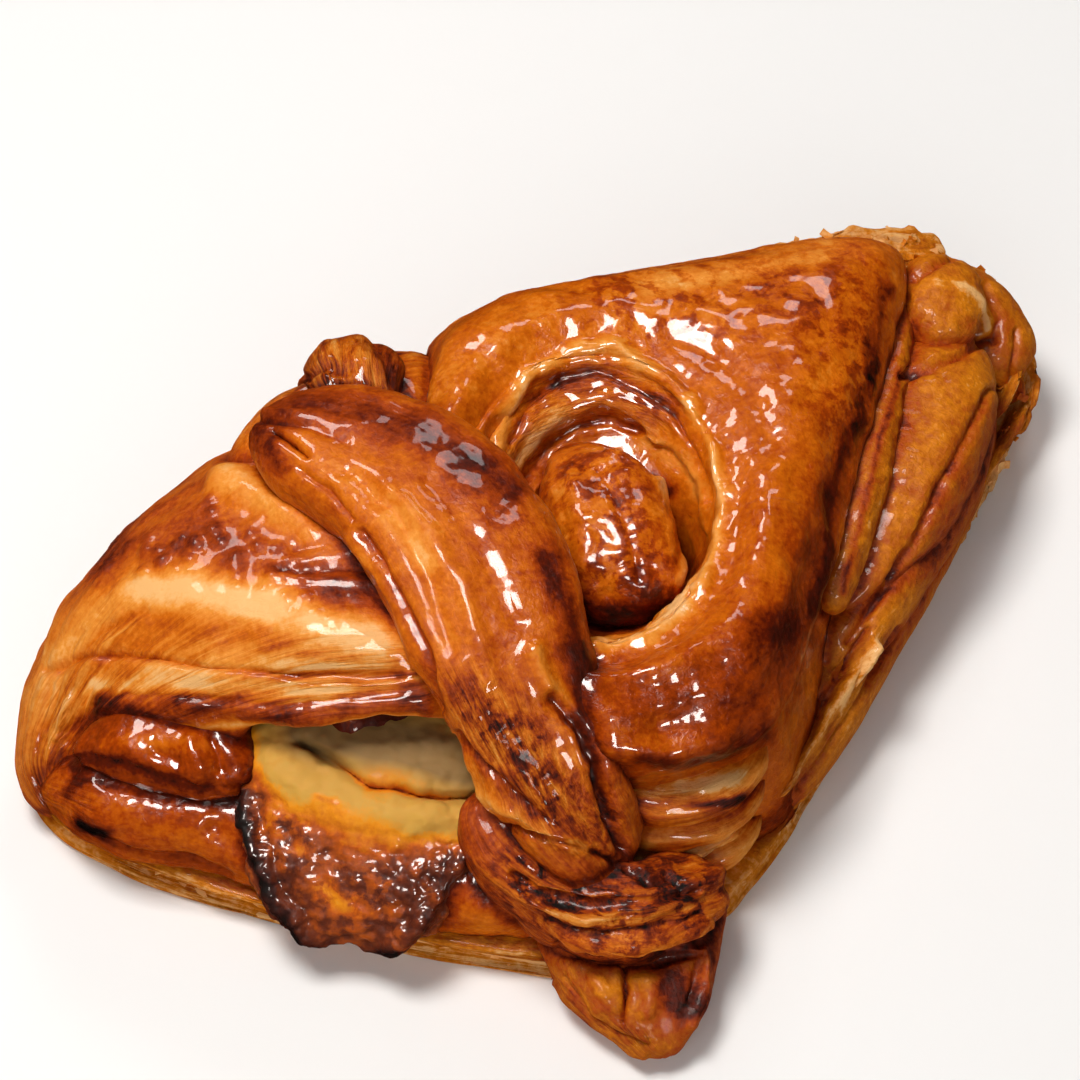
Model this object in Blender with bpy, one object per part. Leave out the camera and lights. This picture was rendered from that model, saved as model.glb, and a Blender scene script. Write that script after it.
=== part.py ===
"""A cheese danish, modelled as the baker folds it.

One square of laminated dough is folded over a cheese filling: a left wing with an open mouth, a right
cushion with a swirl sunk in its top, and a strap of dough that crosses between them and wraps round the
front corner. Everything the dough does is one piece, the node "pastry". The filling that runs through it
from the mouth to the swirl, and spills over the lower lip, is the node "cheese_filling".

Sizes are in millimetres and become metres as the meshes are made. +X runs to the right along the
pastry's length, +Y to the back, where the strap is tucked under, and +Z is up. The pastry rests on z = 0.
"""

import math

import bmesh
import bpy
import numpy as np
from mathutils import Vector

MM = 0.001

# Driving dimensions, in millimetres.
BASE_THICKNESS = 5.0  # the bottom sheet, which shows as a rim all round
CUSHION_HEIGHT = 32.5  # top of the right cushion, round its swirl
WALL_TOP = 24.0  # where the glazed top sheet ends on the right cushion's sides
SWIRL_CENTRE = (6.0, 3.0)
SWIRL_RADII = (15.0, 20.0)  # half sizes of the swirl's outer ring, along X and Y
SWIRL_FLOOR = 22.0  # height of the floor of the swirl
SWIRL_FLOOR_SHARE = 0.45  # the floor's reach as a share of the ring's
SWIRL_STARTS, SWIRL_ENDS = 0.62, 0.95  # where the swirl runs along the cushion's skin
SWIRL_STEPS = 2.6  # spiral ridges between the swirl's ring and its floor
SWIRL_STEP_DEPTH = 1.0
SWIRL_STEP_FADE = 6.0  # how quickly the ridges rise at the ring and sink at the floor
SWIRL_RIDGES_AT = math.radians(125)  # the side where the ridges stand out most
SWIRL_PIT_AT, SWIRL_PIT_WIDTH, SWIRL_PIT_DEPTH = math.radians(-3), 0.55, 11.0
FILLING_GAP = 0.35  # clearance between the filling and the dough round it
BASE_MIDDLE = (2.0, 4.0)  # where the bottom sheet's rows meet, under the folds
ORIGIN_SHIFT = (-1.0, -1.0)  # puts the middle of the footprint on the origin
SHARP_EDGE = math.radians(50)  # an edge that turns more than this is drawn sharp

CRUST = {"color": (0.62, 0.27, 0.06, 1.0), "roughness": 0.32}
CHEESE = {"color": (0.80, 0.66, 0.30, 1.0), "roughness": 0.45}

# The outline of the bottom sheet, anticlockwise from the left end.
BASE_OUTLINE = [
    (-56, -11), (-51, -20.5), (-30, -30), (-4, -36), (10, -37), (19.5, -30), (28.5, -17),
    (41, 7), (52.5, 29), (55.5, 40), (44, 45), (20, 40), (-6, 31), (-29, 17), (-48, 3),
]

# The sides of the right cushion: the direction each one faces, in degrees, and its distance from the
# middle of the swirl, at the top edge and at the foot of the wall.
CUSHION_SIDES = [
    (-16.0, 25.0, 27.5),
    (50.0, 58.0, 58.5),
    (101.0, 35.2, 36.4),
    (140.0, 32.2, 33.4),
    (180.0, 20.0, 20.0),
    (206.0, 15.0, 15.0),
    (-75.0, 29.0, 30.0),
]
CUSHION_CORNER = 12.0  # higher is a tighter corner between two sides

# Folds of dough. Each station is (x, y, z, half width, half height, lean), along the fold's middle
# line: lean pushes the top of the section to the left of the way the fold runs.
FOLDS = {
    "left_wing": [
        (1, 5, 16, 20, 15, 3), (-12, 2, 16.5, 22.5, 15.5, 4), (-27, 0.5, 16, 20.5, 15, 4.5),
        (-39, -3.4, 13, 15.6, 12, 3.5), (-47.5, -8.4, 9, 10, 8, 2), (-52, -14.5, 5.5, 5.5, 4.8, 0),
        (-52, -19, 3.2, 3, 2.8, 0),
    ],
    "lower_lip": [
        (-54, -15, 5, 3, 3, 0), (-46.5, -18.5, 8, 6, 5.5, 0), (-38, -20.5, 8, 6.5, 6, 0),
        (-27, -23, 8, 7, 6, 0), (-14, -26.5, 7.5, 7.5, 6, 0), (-3, -28.5, 7.5, 7, 6, 0),
        (8, -29, 7, 6, 5.5, 0),
    ],
    "inner_fold": [
        (-50, -15.5, 12, 3, 2.5, 0), (-42.5, -16.5, 15.5, 4.5, 4.5, 0), (-35, -17.5, 16, 5, 5, 0),
        (-29.5, -18, 14, 3.5, 4, 0),
    ],
    "strap": [
        (-30, 12.5, 29.5, 4.5, 4, 0), (-24, 9.5, 33, 7.5, 4.5, 0), (-14, 3, 34.5, 9.5, 5, 0),
        (-7, -7, 34, 10, 5, 0), (-3.5, -16.5, 32, 9, 4.8, 0), (0, -23.5, 27, 7.8, 4.5, 0),
        (3.2, -28.5, 21.5, 6.8, 4.2, 0), (6, -31, 15.5, 5.8, 3.8, 0), (7.5, -31.5, 9, 5, 3.5, 0),
    ],
    "strap_tail": [
        (-18, 10, 29, 6, 5, 0), (-20, 17, 29.4, 5.5, 5, 0), (-20.5, 22.2, 25.5, 6, 5, 0),
        (-20, 26, 15, 7, 4.5, 0), (-18, 27, 4, 7, 4, 0),
    ],
    "back_fold": [
        (-33, 8.5, 17.5, 5, 7.5, 0), (-28, 12, 20, 7, 9.8, 0), (-22, 16.5, 19, 8.5, 12, 0),
        (-14, 20.5, 16.5, 9, 12, 0), (-6, 24, 14, 8, 10, 0),
    ],
    "corner_wrap": [
        (-6, -25, 19, 4, 4, 0), (-3, -30, 15.5, 5, 5, 0), (2.5, -34, 12.3, 5, 6.3, 0),
        (9.5, -35.5, 11.3, 5, 6.5, 0), (16, -31.5, 10, 5, 5.5, 0), (19.5, -25, 8, 4, 4.5, 0),
    ],
    "corner_tip": [
        (9, -27, 5, 11, 5, 0), (9.7, -34, 5, 10.6, 5, 0), (11.5, -41, 4.2, 8.2, 4, 0),
        (13.8, -48.2, 2.6, 3, 2.5, 0),
    ],
    "swirl_bud": [
        (5, 12.5, 24, 5.5, 5, 0), (7, 6.5, 25, 7.5, 6.5, 0), (8.5, -1, 24.5, 7.5, 6.5, 0),
        (10, -7.5, 22.5, 6, 5, 0),
    ],
    "side_fold_upper": [
        (41, 42, 19, 2.5, 4, 0), (39.5, 28, 20, 2.7, 4.5, 0), (36.5, 14, 20, 2.7, 4.5, 0),
        (31.5, -2, 19, 2.5, 4, 0),
    ],
    "side_fold_main": [
        (48, 36, 13, 5, 6, 0), (43.5, 25, 15, 7, 6.5, 0), (38, 13, 14.5, 6.5, 6, 0), (32, 0.5, 13, 4, 4.5, 0),
    ],
    "side_fold_patch": [(40.5, 37, 19, 5, 5, 0), (44, 36.5, 19, 6, 6, 0), (47.5, 35.5, 18, 5, 5, 0)],
    "side_fold_lower": [
        (50, 35, 8, 4.5, 5, 0), (46.5, 24, 8, 4.5, 5, 0), (39.5, 10, 8, 4.5, 5, 0), (32.5, -3, 8, 4.5, 5, 0),
        (27, -13, 7.5, 4.5, 4.5, 0), (21, -22, 7, 4.5, 4, 0),
    ],
    "side_fold_corner": [
        (42, 43, 14.5, 6, 8, 0), (50.5, 42.5, 12.5, 6.5, 8, 0), (55.5, 37, 8.5, 4.5, 6.5, 0),
    ],
    "wing_pleat_back": [
        (-37, 4.5, 27, 2.5, 2, 0), (-30, 3.5, 30, 3, 2.4, 0), (-23, -0.5, 31.5, 3, 2.4, 0),
        (-16, -6, 31, 2.5, 2, 0),
    ],
    "wing_pleat_front": [
        (-29, -6, 30, 1.5, 1.5, 0), (-22, -7, 31.2, 2.2, 1.8, 0), (-14, -10, 31.5, 2.2, 1.8, 0),
    ],
    "cheese_run": [
        (-27, -13, 14.5, 9, 5, 0), (-16, -9, 14.5, 10, 5, 0), (-3, -2, 12.5, 9, 4.5, 0), (10, 3, 12, 9, 4, 0),
        (16, 4, 12, 7, 3.5, 0),
    ],
    "cheese_spill": [
        (-17.5, -9, 16, 13.5, 4, 0), (-17.8, -19, 16.3, 13.5, 4.4, 0), (-19, -26.5, 13, 12.5, 3.8, 0),
        (-20.5, -32.2, 8.5, 9.5, 3.2, 0), (-21.5, -33.8, 4, 6, 2.4, 0),
    ],
}
# How blunt a fold's ends are and how square its section is, where it isn't the usual.
FOLD_SHAPES = {
    "left_wing": {"blunt": 6, "power": 2.6},
    "strap": {"power": 2.4},
    "corner_tip": {"blunt": 5},
    "corner_layer": {"blunt": 5},
    "inner_fold": {"blunt": 4},
    "back_fold": {"blunt": 4},
    "swirl_bud": {"blunt": 4},
    "side_fold_upper": {"blunt": 4},
    "side_fold_main": {"blunt": 4},
    "side_fold_patch": {"blunt": 4},
    "side_fold_lower": {"blunt": 4},
    "side_fold_corner": {"blunt": 4},
    "wing_pleat_back": {"blunt": 4},
    "wing_pleat_front": {"blunt": 4},
    "cheese_run": {"blunt": 5},
    "cheese_spill": {"blunt": 7},
}
# The rows and columns of faces on each skin, where they aren't the usual.
USUAL_GRID = (12, 12)
GRIDS = {
    "pastry": (10, 48),
    "right_cushion": (36, 52),
    "left_wing": (28, 30),
    "lower_lip": (22, 14),
    "strap": (28, 18),
    "strap_tail": (14, 12),
    "back_fold": (12, 14),
    "corner_wrap": (18, 14),
    "corner_tip": (12, 16),
    "swirl_bud": (12, 14),
    "corner_layer": (10, 10),
    "cheese_run": (14, 16),
    "cheese_spill": (20, 24),
}
# The stacked layers that show where the right cushion's front corner is cut: the height and y of each
# one's edge, and the stations they share, as (x, y from the edge, z from the edge, half width, half height).
CORNER_LAYERS = [(17.0, -18.5), (13.0, -19.8), (8.5, -21.5)]
CORNER_LAYER_RUN = [
    (8, -2, 0, 4, 2.1), (13, -3.5, 0, 4.5, 2.3), (18.5, -2, 0.3, 4.5, 2.2), (22.5, 3, 0.6, 3.5, 1.8),
]


# ---------------------------------------------------------------------------------------------
# Shaping functions


def blend_keys(keys, t):
    """Values between keys that are evenly spaced over t = 0 to 1, on a smooth curve through them."""
    keys = np.asarray(keys, float)
    position = np.clip(t, 0, 1) * (len(keys) - 1)
    first = np.minimum(position.astype(int), len(keys) - 2)
    f = (position - first)[..., None]
    last = len(keys) - 1
    before, start = keys[np.maximum(first - 1, 0)], keys[first]
    end, after = keys[first + 1], keys[np.minimum(first + 2, last)]
    cubic = 3 * (start - end) + after - before
    square = 2 * before - 5 * start + 4 * end - after
    return start + 0.5 * f * (end - before + f * (square + f * cubic))


def round_power(value, power):
    """The cosine or sine of an ellipse's angle, squared off towards a box as power grows past 2."""
    return np.sign(value) * np.abs(value) ** (2 / power)


def fold_point(stations, s, a, blunt=9.0, power=2.5, grow=0.0):
    """The skin of a fold: s runs along it from 0 to 1, and a is the angle round its section."""
    step = 1e-3
    values = blend_keys(stations, s)
    along = blend_keys(stations, np.minimum(s + step, 1)) - blend_keys(stations, np.maximum(s - step, 0))
    tangent = along[..., :3] / np.linalg.norm(along[..., :3], axis=-1, keepdims=True)
    left = np.stack([-tangent[..., 1], tangent[..., 0], np.zeros_like(s)], -1)
    left /= np.linalg.norm(left, axis=-1, keepdims=True)
    up = np.cross(tangent, left)
    end = np.sqrt(np.clip(1 - np.abs(2 * s - 1) ** blunt, 0, 1))
    across = (values[..., 3] + grow) * end * round_power(np.cos(a), power)
    height = round_power(np.sin(a), power)
    across = across + values[..., 5] * end * height
    along_end = tangent * (np.sign(s - 0.5) * grow * (np.abs(2 * s - 1) ** blunt))[..., None]
    rise = (values[..., 4] + grow) * end * height
    return values[..., :3] + left * across[..., None] + up * rise[..., None] + along_end


def base_point(s, a):
    """The bottom sheet: from the middle of its underside (s = 0) round the rim to the middle of its top."""
    edge = blend_keys(BASE_OUTLINE + BASE_OUTLINE[:1], (a / (2 * math.pi)) % 1.0)
    profile = blend_keys([(0, 0), (0.5, 0), (0.975, 0), (1, 0.5), (0.975, 1), (0.5, 1), (0, 1)], s)
    middle = np.array(BASE_MIDDLE)
    xy = middle + (edge - middle) * profile[..., :1]
    return np.concatenate([xy, np.clip(profile[..., 1:], 0, 1) * BASE_THICKNESS], -1)


def cushion_reach(a, which):
    """How far the right cushion reaches from the swirl's middle in direction a, at top (1) or foot (2)."""
    total = np.zeros_like(a)
    for side in CUSHION_SIDES:
        total += (np.maximum(np.cos(a - math.radians(side[0])), 0) / side[which]) ** CUSHION_CORNER
    return total ** (-1 / CUSHION_CORNER)


def swirl_floor(a):
    """Height of the swirl's floor in direction a: high, with a pit on the right that shows the filling."""
    pit = np.exp(-((np.angle(np.exp(1j * (a - SWIRL_PIT_AT))) / SWIRL_PIT_WIDTH) ** 2))
    return SWIRL_FLOOR - SWIRL_PIT_DEPTH * pit


def swirl_ridges(a, inward):
    """Height of the spiral ridges, where inward is 0 at the swirl's ring and 1 at its floor."""
    turn = SWIRL_STEPS * inward - a / (2 * math.pi)
    fade = np.clip(inward * SWIRL_STEP_FADE, 0, 1) * np.clip((1 - inward) * SWIRL_STEP_FADE, 0, 1)
    facing_back = 0.5 + 0.5 * np.cos(a - SWIRL_RIDGES_AT)
    return SWIRL_STEP_DEPTH * fade * facing_back * np.cos(2 * math.pi * turn)


def cushion_point(s, a):
    """The right cushion: up the wall, over the top, and down the swirl's ridges to its floor (s = 1)."""
    ring = 1 / np.hypot(np.cos(a) / SWIRL_RADII[0], np.sin(a) / SWIRL_RADII[1])
    top, foot = cushion_reach(a, 1), cushion_reach(a, 2)
    # Each key says how much of the foot's, the top edge's and the ring's reach it takes, and its height.
    wall = [
        (0, 0, 0, 3), (0.9, 0, 0, 3), (1.0, 0, 0, 5), (0.5, 0.5, 0, 13), (0, 0.98, 0, 20),
        (0, 1.0, 0, WALL_TOP), (0, 0.93, 0, WALL_TOP + 4.0), (0, 0.65, 0.35, CUSHION_HEIGHT - 1.5),
        (0, 0.3, 0.7, CUSHION_HEIGHT), (0, 0, 1.0, CUSHION_HEIGHT - 2.0),
    ]
    outside = blend_keys(wall, s / SWIRL_STARTS)
    inward = np.clip((s - SWIRL_STARTS) / (SWIRL_ENDS - SWIRL_STARTS), 0, 1)
    centre = np.clip((1 - s) / (1 - SWIRL_ENDS), 0, 1)
    in_swirl = s > SWIRL_STARTS
    reach = outside[..., 0] * foot + outside[..., 1] * top + outside[..., 2] * ring
    reach = np.where(in_swirl, ring * (1 - (1 - SWIRL_FLOOR_SHARE) * inward) * centre, reach)
    slope = inward * inward * (3 - 2 * inward)
    sunk = CUSHION_HEIGHT - 2.0 + (swirl_floor(a) - CUSHION_HEIGHT + 2.0) * slope + swirl_ridges(a, inward)
    sunk = SWIRL_FLOOR + (sunk - SWIRL_FLOOR) * np.clip(centre * 2, 0, 1)
    height = np.where(in_swirl, sunk, outside[..., 3])
    x = SWIRL_CENTRE[0] + reach * np.cos(a)
    y = SWIRL_CENTRE[1] + reach * np.sin(a)
    return np.stack([x, y, height], -1)


# ---------------------------------------------------------------------------------------------
# Blender objects


def clear_scene():
    for obj in list(bpy.data.objects):
        bpy.data.objects.remove(obj)


def new_collection(name):
    collection = bpy.data.collections.new(name)
    bpy.context.scene.collection.children.link(collection)
    return collection


def material(name, color, roughness):
    made = bpy.data.materials.new(name)
    made.use_nodes = True
    shader = made.node_tree.nodes["Principled BSDF"]
    shader.inputs["Base Color"].default_value = color
    shader.inputs["Roughness"].default_value = roughness
    shader.inputs["Metallic"].default_value = 0.0
    return made


def skin(name, collection, point, rows, columns):
    """A sphere primitive with its points moved by point(s, a): s from pole to pole, a round the sphere."""
    mesh = bpy.data.meshes.new(name)
    ball = bmesh.new()
    bmesh.ops.create_uvsphere(ball, u_segments=columns, v_segments=rows, radius=1)
    co = np.array([v.co for v in ball.verts], float)
    s = np.arccos(np.clip(-co[:, 2], -1, 1)) / math.pi
    a = np.arctan2(co[:, 1], co[:, 0])
    moved = point(s, a) + np.array([*ORIGIN_SHIFT, 0.0])
    moved[:, 2] = np.maximum(moved[:, 2], 0.0)
    for vert, place in zip(ball.verts, moved):
        vert.co = Vector(place * MM)
    bmesh.ops.recalc_face_normals(ball, faces=ball.faces)
    bmesh.ops.triangulate(ball, faces=ball.faces)
    ball.to_mesh(mesh)
    ball.free()
    obj = bpy.data.objects.new(name, mesh)
    collection.objects.link(obj)
    return obj


def fold(name, collection, grow=0.0):
    """The skin of a fold that FOLDS names."""
    shape = FOLD_SHAPES.get(name, {})
    return skin(
        name, collection, lambda s, a: fold_point(FOLDS[name], s, a, grow=grow, **shape),
        *GRIDS.get(name, USUAL_GRID))


def corner_layer(number, collection):
    """One of the stacked layers at the right cushion's front corner."""
    z, y = CORNER_LAYERS[number]
    stations = [(x, y + along, z + up, width, height, 0) for x, along, up, width, height in CORNER_LAYER_RUN]
    return skin(
        f"corner_layer_{number}", collection,
        lambda s, a: fold_point(stations, s, a, **FOLD_SHAPES["corner_layer"]), *GRIDS["corner_layer"])


def join(target, others, operation):
    """Joins the others to the target, or cuts them from it, and applies the Boolean."""
    modifier = target.modifiers.new(operation.title(), "BOOLEAN")
    modifier.operation = operation
    modifier.solver = "EXACT"
    modifier.operand_type = "COLLECTION"
    modifier.collection = others
    graph = bpy.context.evaluated_depsgraph_get()
    made = bpy.data.meshes.new_from_object(target.evaluated_get(graph))
    target.modifiers.clear()
    target.data = made
    for obj in list(others.objects):
        bpy.data.objects.remove(obj)
    bpy.data.collections.remove(others)


def make_pastry(collection):
    folds = new_collection("folds")
    pastry = skin("pastry", collection, base_point, *GRIDS["pastry"])
    skin("right_cushion", folds, cushion_point, *GRIDS["right_cushion"])
    for name in FOLDS:
        if not name.startswith("cheese"):
            fold(name, folds)
    for number in range(len(CORNER_LAYERS)):
        corner_layer(number, folds)
    join(pastry, folds, "UNION")
    return pastry


def make_cheese(collection, name, grow=0.0):
    spill = new_collection("spill")
    cheese = fold("cheese_run", collection, grow)
    cheese.name = name
    fold("cheese_spill", spill, grow)
    join(cheese, spill, "UNION")
    return cheese


def main():
    clear_scene()
    danish = new_collection("cheese_danish")
    cutters = new_collection("cutters")
    pastry = make_pastry(danish)
    make_cheese(cutters, "filling_space", FILLING_GAP)
    join(pastry, cutters, "DIFFERENCE")
    cheese = make_cheese(danish, "cheese_filling")
    pastry.data.materials.append(material("crust", **CRUST))
    cheese.data.materials.append(material("cheese", **CHEESE))
    for obj in (pastry, cheese):
        obj.data.shade_smooth()
        obj.data.set_sharp_from_angle(angle=SHARP_EDGE)


main()
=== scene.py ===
"""A cheese danish: glazed laminated dough folded over a cheese filling, finished for close views.

The danish is made of the folds that the baker makes. Every fold is a skin that follows a list of stations,
with relief pressed into it and browning painted on it by short named strokes. Lengths are millimetres until
a mesh is made. Strokes are placed on a flat marking grid that faces the front of the danish from 55 degrees
up: 1080 steps of 0.115 mm a side, x to the right and y down, with its middle on the danish's display point.
"""

import math

import bpy
import numpy as np
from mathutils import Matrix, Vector
from mathutils.bvhtree import BVHTree


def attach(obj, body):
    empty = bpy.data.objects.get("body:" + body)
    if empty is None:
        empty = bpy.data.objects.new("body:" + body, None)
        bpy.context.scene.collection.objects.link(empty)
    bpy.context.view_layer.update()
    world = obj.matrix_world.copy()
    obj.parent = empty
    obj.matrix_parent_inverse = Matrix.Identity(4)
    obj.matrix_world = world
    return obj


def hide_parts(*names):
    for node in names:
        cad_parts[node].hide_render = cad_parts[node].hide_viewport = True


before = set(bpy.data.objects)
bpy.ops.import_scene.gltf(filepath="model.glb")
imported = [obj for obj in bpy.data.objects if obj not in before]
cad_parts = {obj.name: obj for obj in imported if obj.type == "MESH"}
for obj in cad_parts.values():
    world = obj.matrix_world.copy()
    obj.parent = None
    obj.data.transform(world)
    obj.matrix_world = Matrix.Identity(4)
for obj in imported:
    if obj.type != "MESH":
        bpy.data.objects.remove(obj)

bl_info = {
    "name": "Cheese Danish",
    "version": (1, 0, 0),
    "blender": (4, 5, 0),
    "location": "View3D > Sidebar > Danish",
    "description": "Builds a glazed cheese danish from folds of laminated dough",
    "category": "Add Mesh",
}

MM = 0.001
CRUST_NODE, CHEESE_NODE = "pastry", "cheese_filling"
ORIGIN_SHIFT = np.array([-1.0, -1.0, 0.0])  # from the folds' own middle to the middle of the footprint

# The marking grid, which the display camera shares.
GRID_STEPS = 1080
GRID_STEP = 0.115
GRID_ANGLE = math.radians(55)
VIEW_DISTANCE = 450.0
DISPLAY_POINT = np.array([0.0, 20.0, 0.0])

# ---------------------------------------------------------------------------------------------
# Folds: stations are (x, y, z, half width, half height, lean).

BASE_THICKNESS = 5.0
CUSHION_HEIGHT = 32.5
WALL_TOP = 24.0
SWIRL_CENTRE = (6.0, 3.0)
SWIRL_RADII = (15.0, 20.0)
SWIRL_FLOOR = 22.0
SWIRL_FLOOR_SHARE = 0.45
SWIRL_STARTS, SWIRL_ENDS = 0.62, 0.95
SWIRL_STEPS = 2.6
SWIRL_RIDGES_AT = math.radians(125)
SWIRL_PIT_AT, SWIRL_PIT_WIDTH, SWIRL_PIT_DEPTH = math.radians(-3), 0.55, 11.0

BASE_OUTLINE = [
    (-56, -11), (-51, -20.5), (-30, -30), (-4, -36), (10, -37), (19.5, -30), (28.5, -17),
    (41, 7), (52.5, 29), (55.5, 40), (44, 45), (20, 40), (-6, 31), (-29, 17), (-48, 3),
]
CUSHION_SIDES = [  # direction in degrees, distance to the top edge and to the foot
    (-16.0, 25.0, 27.5),
    (50.0, 58.0, 58.5),
    (101.0, 35.2, 36.4),
    (140.0, 32.2, 33.4),
    (180.0, 20.0, 20.0),
    (206.0, 15.0, 15.0),
    (-75.0, 29.0, 30.0),
]
CUSHION_CORNER = 12.0
BASE_MIDDLE = (2.0, 4.0)

FOLDS = {
    "left_wing": [
        (1, 5, 16, 20, 15, 3), (-12, 2, 16.5, 22.5, 15.5, 4), (-27, 0.5, 16, 20.5, 15, 4.5),
        (-39, -3.4, 13, 15.6, 12, 3.5), (-47.5, -8.4, 9, 10, 8, 2), (-52, -14.5, 5.5, 5.5, 4.8, 0),
        (-52, -19, 3.2, 3, 2.8, 0),
    ],
    "lower_lip": [
        (-54, -15, 5, 3, 3, 0), (-46.5, -18.5, 8, 6, 5.5, 0), (-38, -20.5, 8, 6.5, 6, 0),
        (-27, -23, 8, 7, 6, 0), (-14, -26.5, 7.5, 7.5, 6, 0), (-3, -28.5, 7.5, 7, 6, 0),
        (8, -29, 7, 6, 5.5, 0),
    ],
    "inner_fold": [
        (-50, -15.8, 11.5, 3.5, 3, 0), (-42.5, -17.2, 14.5, 5, 5, 0), (-35, -18.3, 14.8, 5.6, 5.4, 0),
        (-28.5, -18.8, 13, 4.5, 4.5, 0),
    ],
    "strap": [
        (-30, 12.5, 29.5, 4.5, 4, 0), (-24, 9.5, 33, 7.5, 4.5, 0), (-14, 3, 34.5, 9.5, 5, 0),
        (-7, -7, 34, 10, 5, 0), (-3.5, -16.5, 32, 9, 4.8, 0), (0, -23.5, 27, 7.8, 4.5, 0),
        (3.2, -28.5, 21.5, 6.8, 4.2, 0),
        (6, -31, 15.5, 5.8, 3.8, 0), (7.5, -31.5, 9, 5, 3.5, 0),
    ],
    "strap_tail": [
        (-18, 10, 29, 6, 5, 0), (-20, 17, 29.4, 5.5, 5, 0), (-20.5, 22.2, 25.5, 6, 5, 0),
        (-20, 26, 15, 7, 4.5, 0), (-18, 27, 4, 7, 4, 0),
    ],
    "back_fold": [
        (-33, 8.5, 17.5, 5, 7.5, 0), (-28, 12, 20, 7, 9.8, 0), (-22, 16.5, 19, 8.5, 12, 0),
        (-14, 20.5, 16.5, 9, 12, 0), (-6, 24, 14, 8, 10, 0),
    ],
    "corner_wrap": [
        (-6, -25, 19, 4, 4, 0), (-3, -30, 15.5, 5, 5, 0), (2.5, -34, 12.3, 5, 6.3, 0),
        (9.5, -35.5, 11.3, 5, 6.5, 0), (15, -32.5, 9.5, 4.6, 5.2, 0), (17.5, -30, 6.5, 3.5, 4, 0),
    ],
    "corner_tip": [
        (9, -27, 5, 10.5, 5, 0), (9.7, -34, 5, 10, 5, 0), (11.4, -41, 4.2, 7.5, 4, 0),
        (13.4, -47.8, 2.6, 2.8, 2.5, 0),
    ],
    "swirl_bud": [
        (3, 14, 24, 3.5, 4, 0), (6, 7.5, 25.3, 6.3, 6, 0), (8.2, 0, 25, 7.2, 6.5, 0),
        (9.5, -6.8, 22.5, 6, 5.3, 0),
    ],
    "side_fold_upper": [
        (41.2, 41, 18.5, 2.8, 4, 0), (38.8, 28, 19.5, 3, 4.8, 0), (35.8, 14, 19.5, 3, 4.8, 0),
        (31.2, -2, 18, 2.8, 4, 0),
    ],
    "side_fold_main": [
        (47.5, 37, 14.5, 5, 6, 0), (43.8, 26.5, 15.5, 7.8, 6.8, 0), (38.6, 13.5, 14.8, 7.2, 6.4, 0),
        (32, 0, 13, 4, 4.5, 0),
    ],
    "side_fold_patch": [
        (40.5, 38.5, 18.5, 5, 5, 0), (44.8, 38.3, 18.5, 7, 6, 0), (48.5, 37.5, 16.5, 5.5, 5, 0),
    ],
    "side_fold_inner": [
        (50, 34, 11, 4, 5, 0), (45.5, 22, 11.5, 5, 5.5, 0), (38.5, 8, 11, 5, 5.5, 0), (31, -6, 10, 4.5, 5, 0),
    ],
    "side_fold_lower": [
        (50.5, 35, 7, 5, 4, 0), (46, 24, 7, 5.5, 4.5, 0), (39, 10, 7.2, 5.5, 4.8, 0),
        (32.3, -3, 7.2, 5.2, 4.8, 0), (27, -13, 7, 5, 4.2, 0), (20.5, -22.5, 6.5, 4.5, 3.8, 0),
    ],
    "side_fold_corner": [(43, 43.5, 13, 6, 8, 0), (49.6, 41.4, 11, 5.8, 7, 0), (54.8, 36, 8, 4.2, 6, 0)],
    "cheese_run": [
        (-27, -13, 14.5, 9, 5, 0), (-16, -9, 14.5, 10, 5, 0), (-3, -2, 12.5, 9, 4.5, 0), (10, 3, 12, 9, 4, 0),
        (16, 4, 12, 7, 3.5, 0),
    ],
    "cheese_spill": [
        (-17.5, -9, 16, 13.5, 4, 0), (-17.8, -19, 16.3, 13.5, 4.4, 0), (-19, -26.5, 13, 12.5, 3.8, 0),
        (-20, -32.2, 8.8, 10.5, 3.2, 0), (-20.3, -33.8, 4.6, 8, 2.4, 0),
    ],
}
CORNER_LAYERS = [(17.4, -20.4), (13.0, -21.0), (8.5, -22.3)]  # height and y of the cut layers' edges
FOLD_SHAPES = {  # how blunt a fold's ends are and how square its section is, where it isn't the usual
    "left_wing": {"blunt": 6, "power": 2.6},
    "strap": {"power": 2.8},
    "corner_tip": {"blunt": 5},
    "cheese_run": {"blunt": 5},
    "cheese_spill": {"blunt": 7},
    **{name: {"blunt": 4} for name in ("inner_fold", "back_fold", "swirl_bud")},
    **{name: {"blunt": 4} for name in FOLDS if name.startswith("side_fold")},
}
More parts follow.
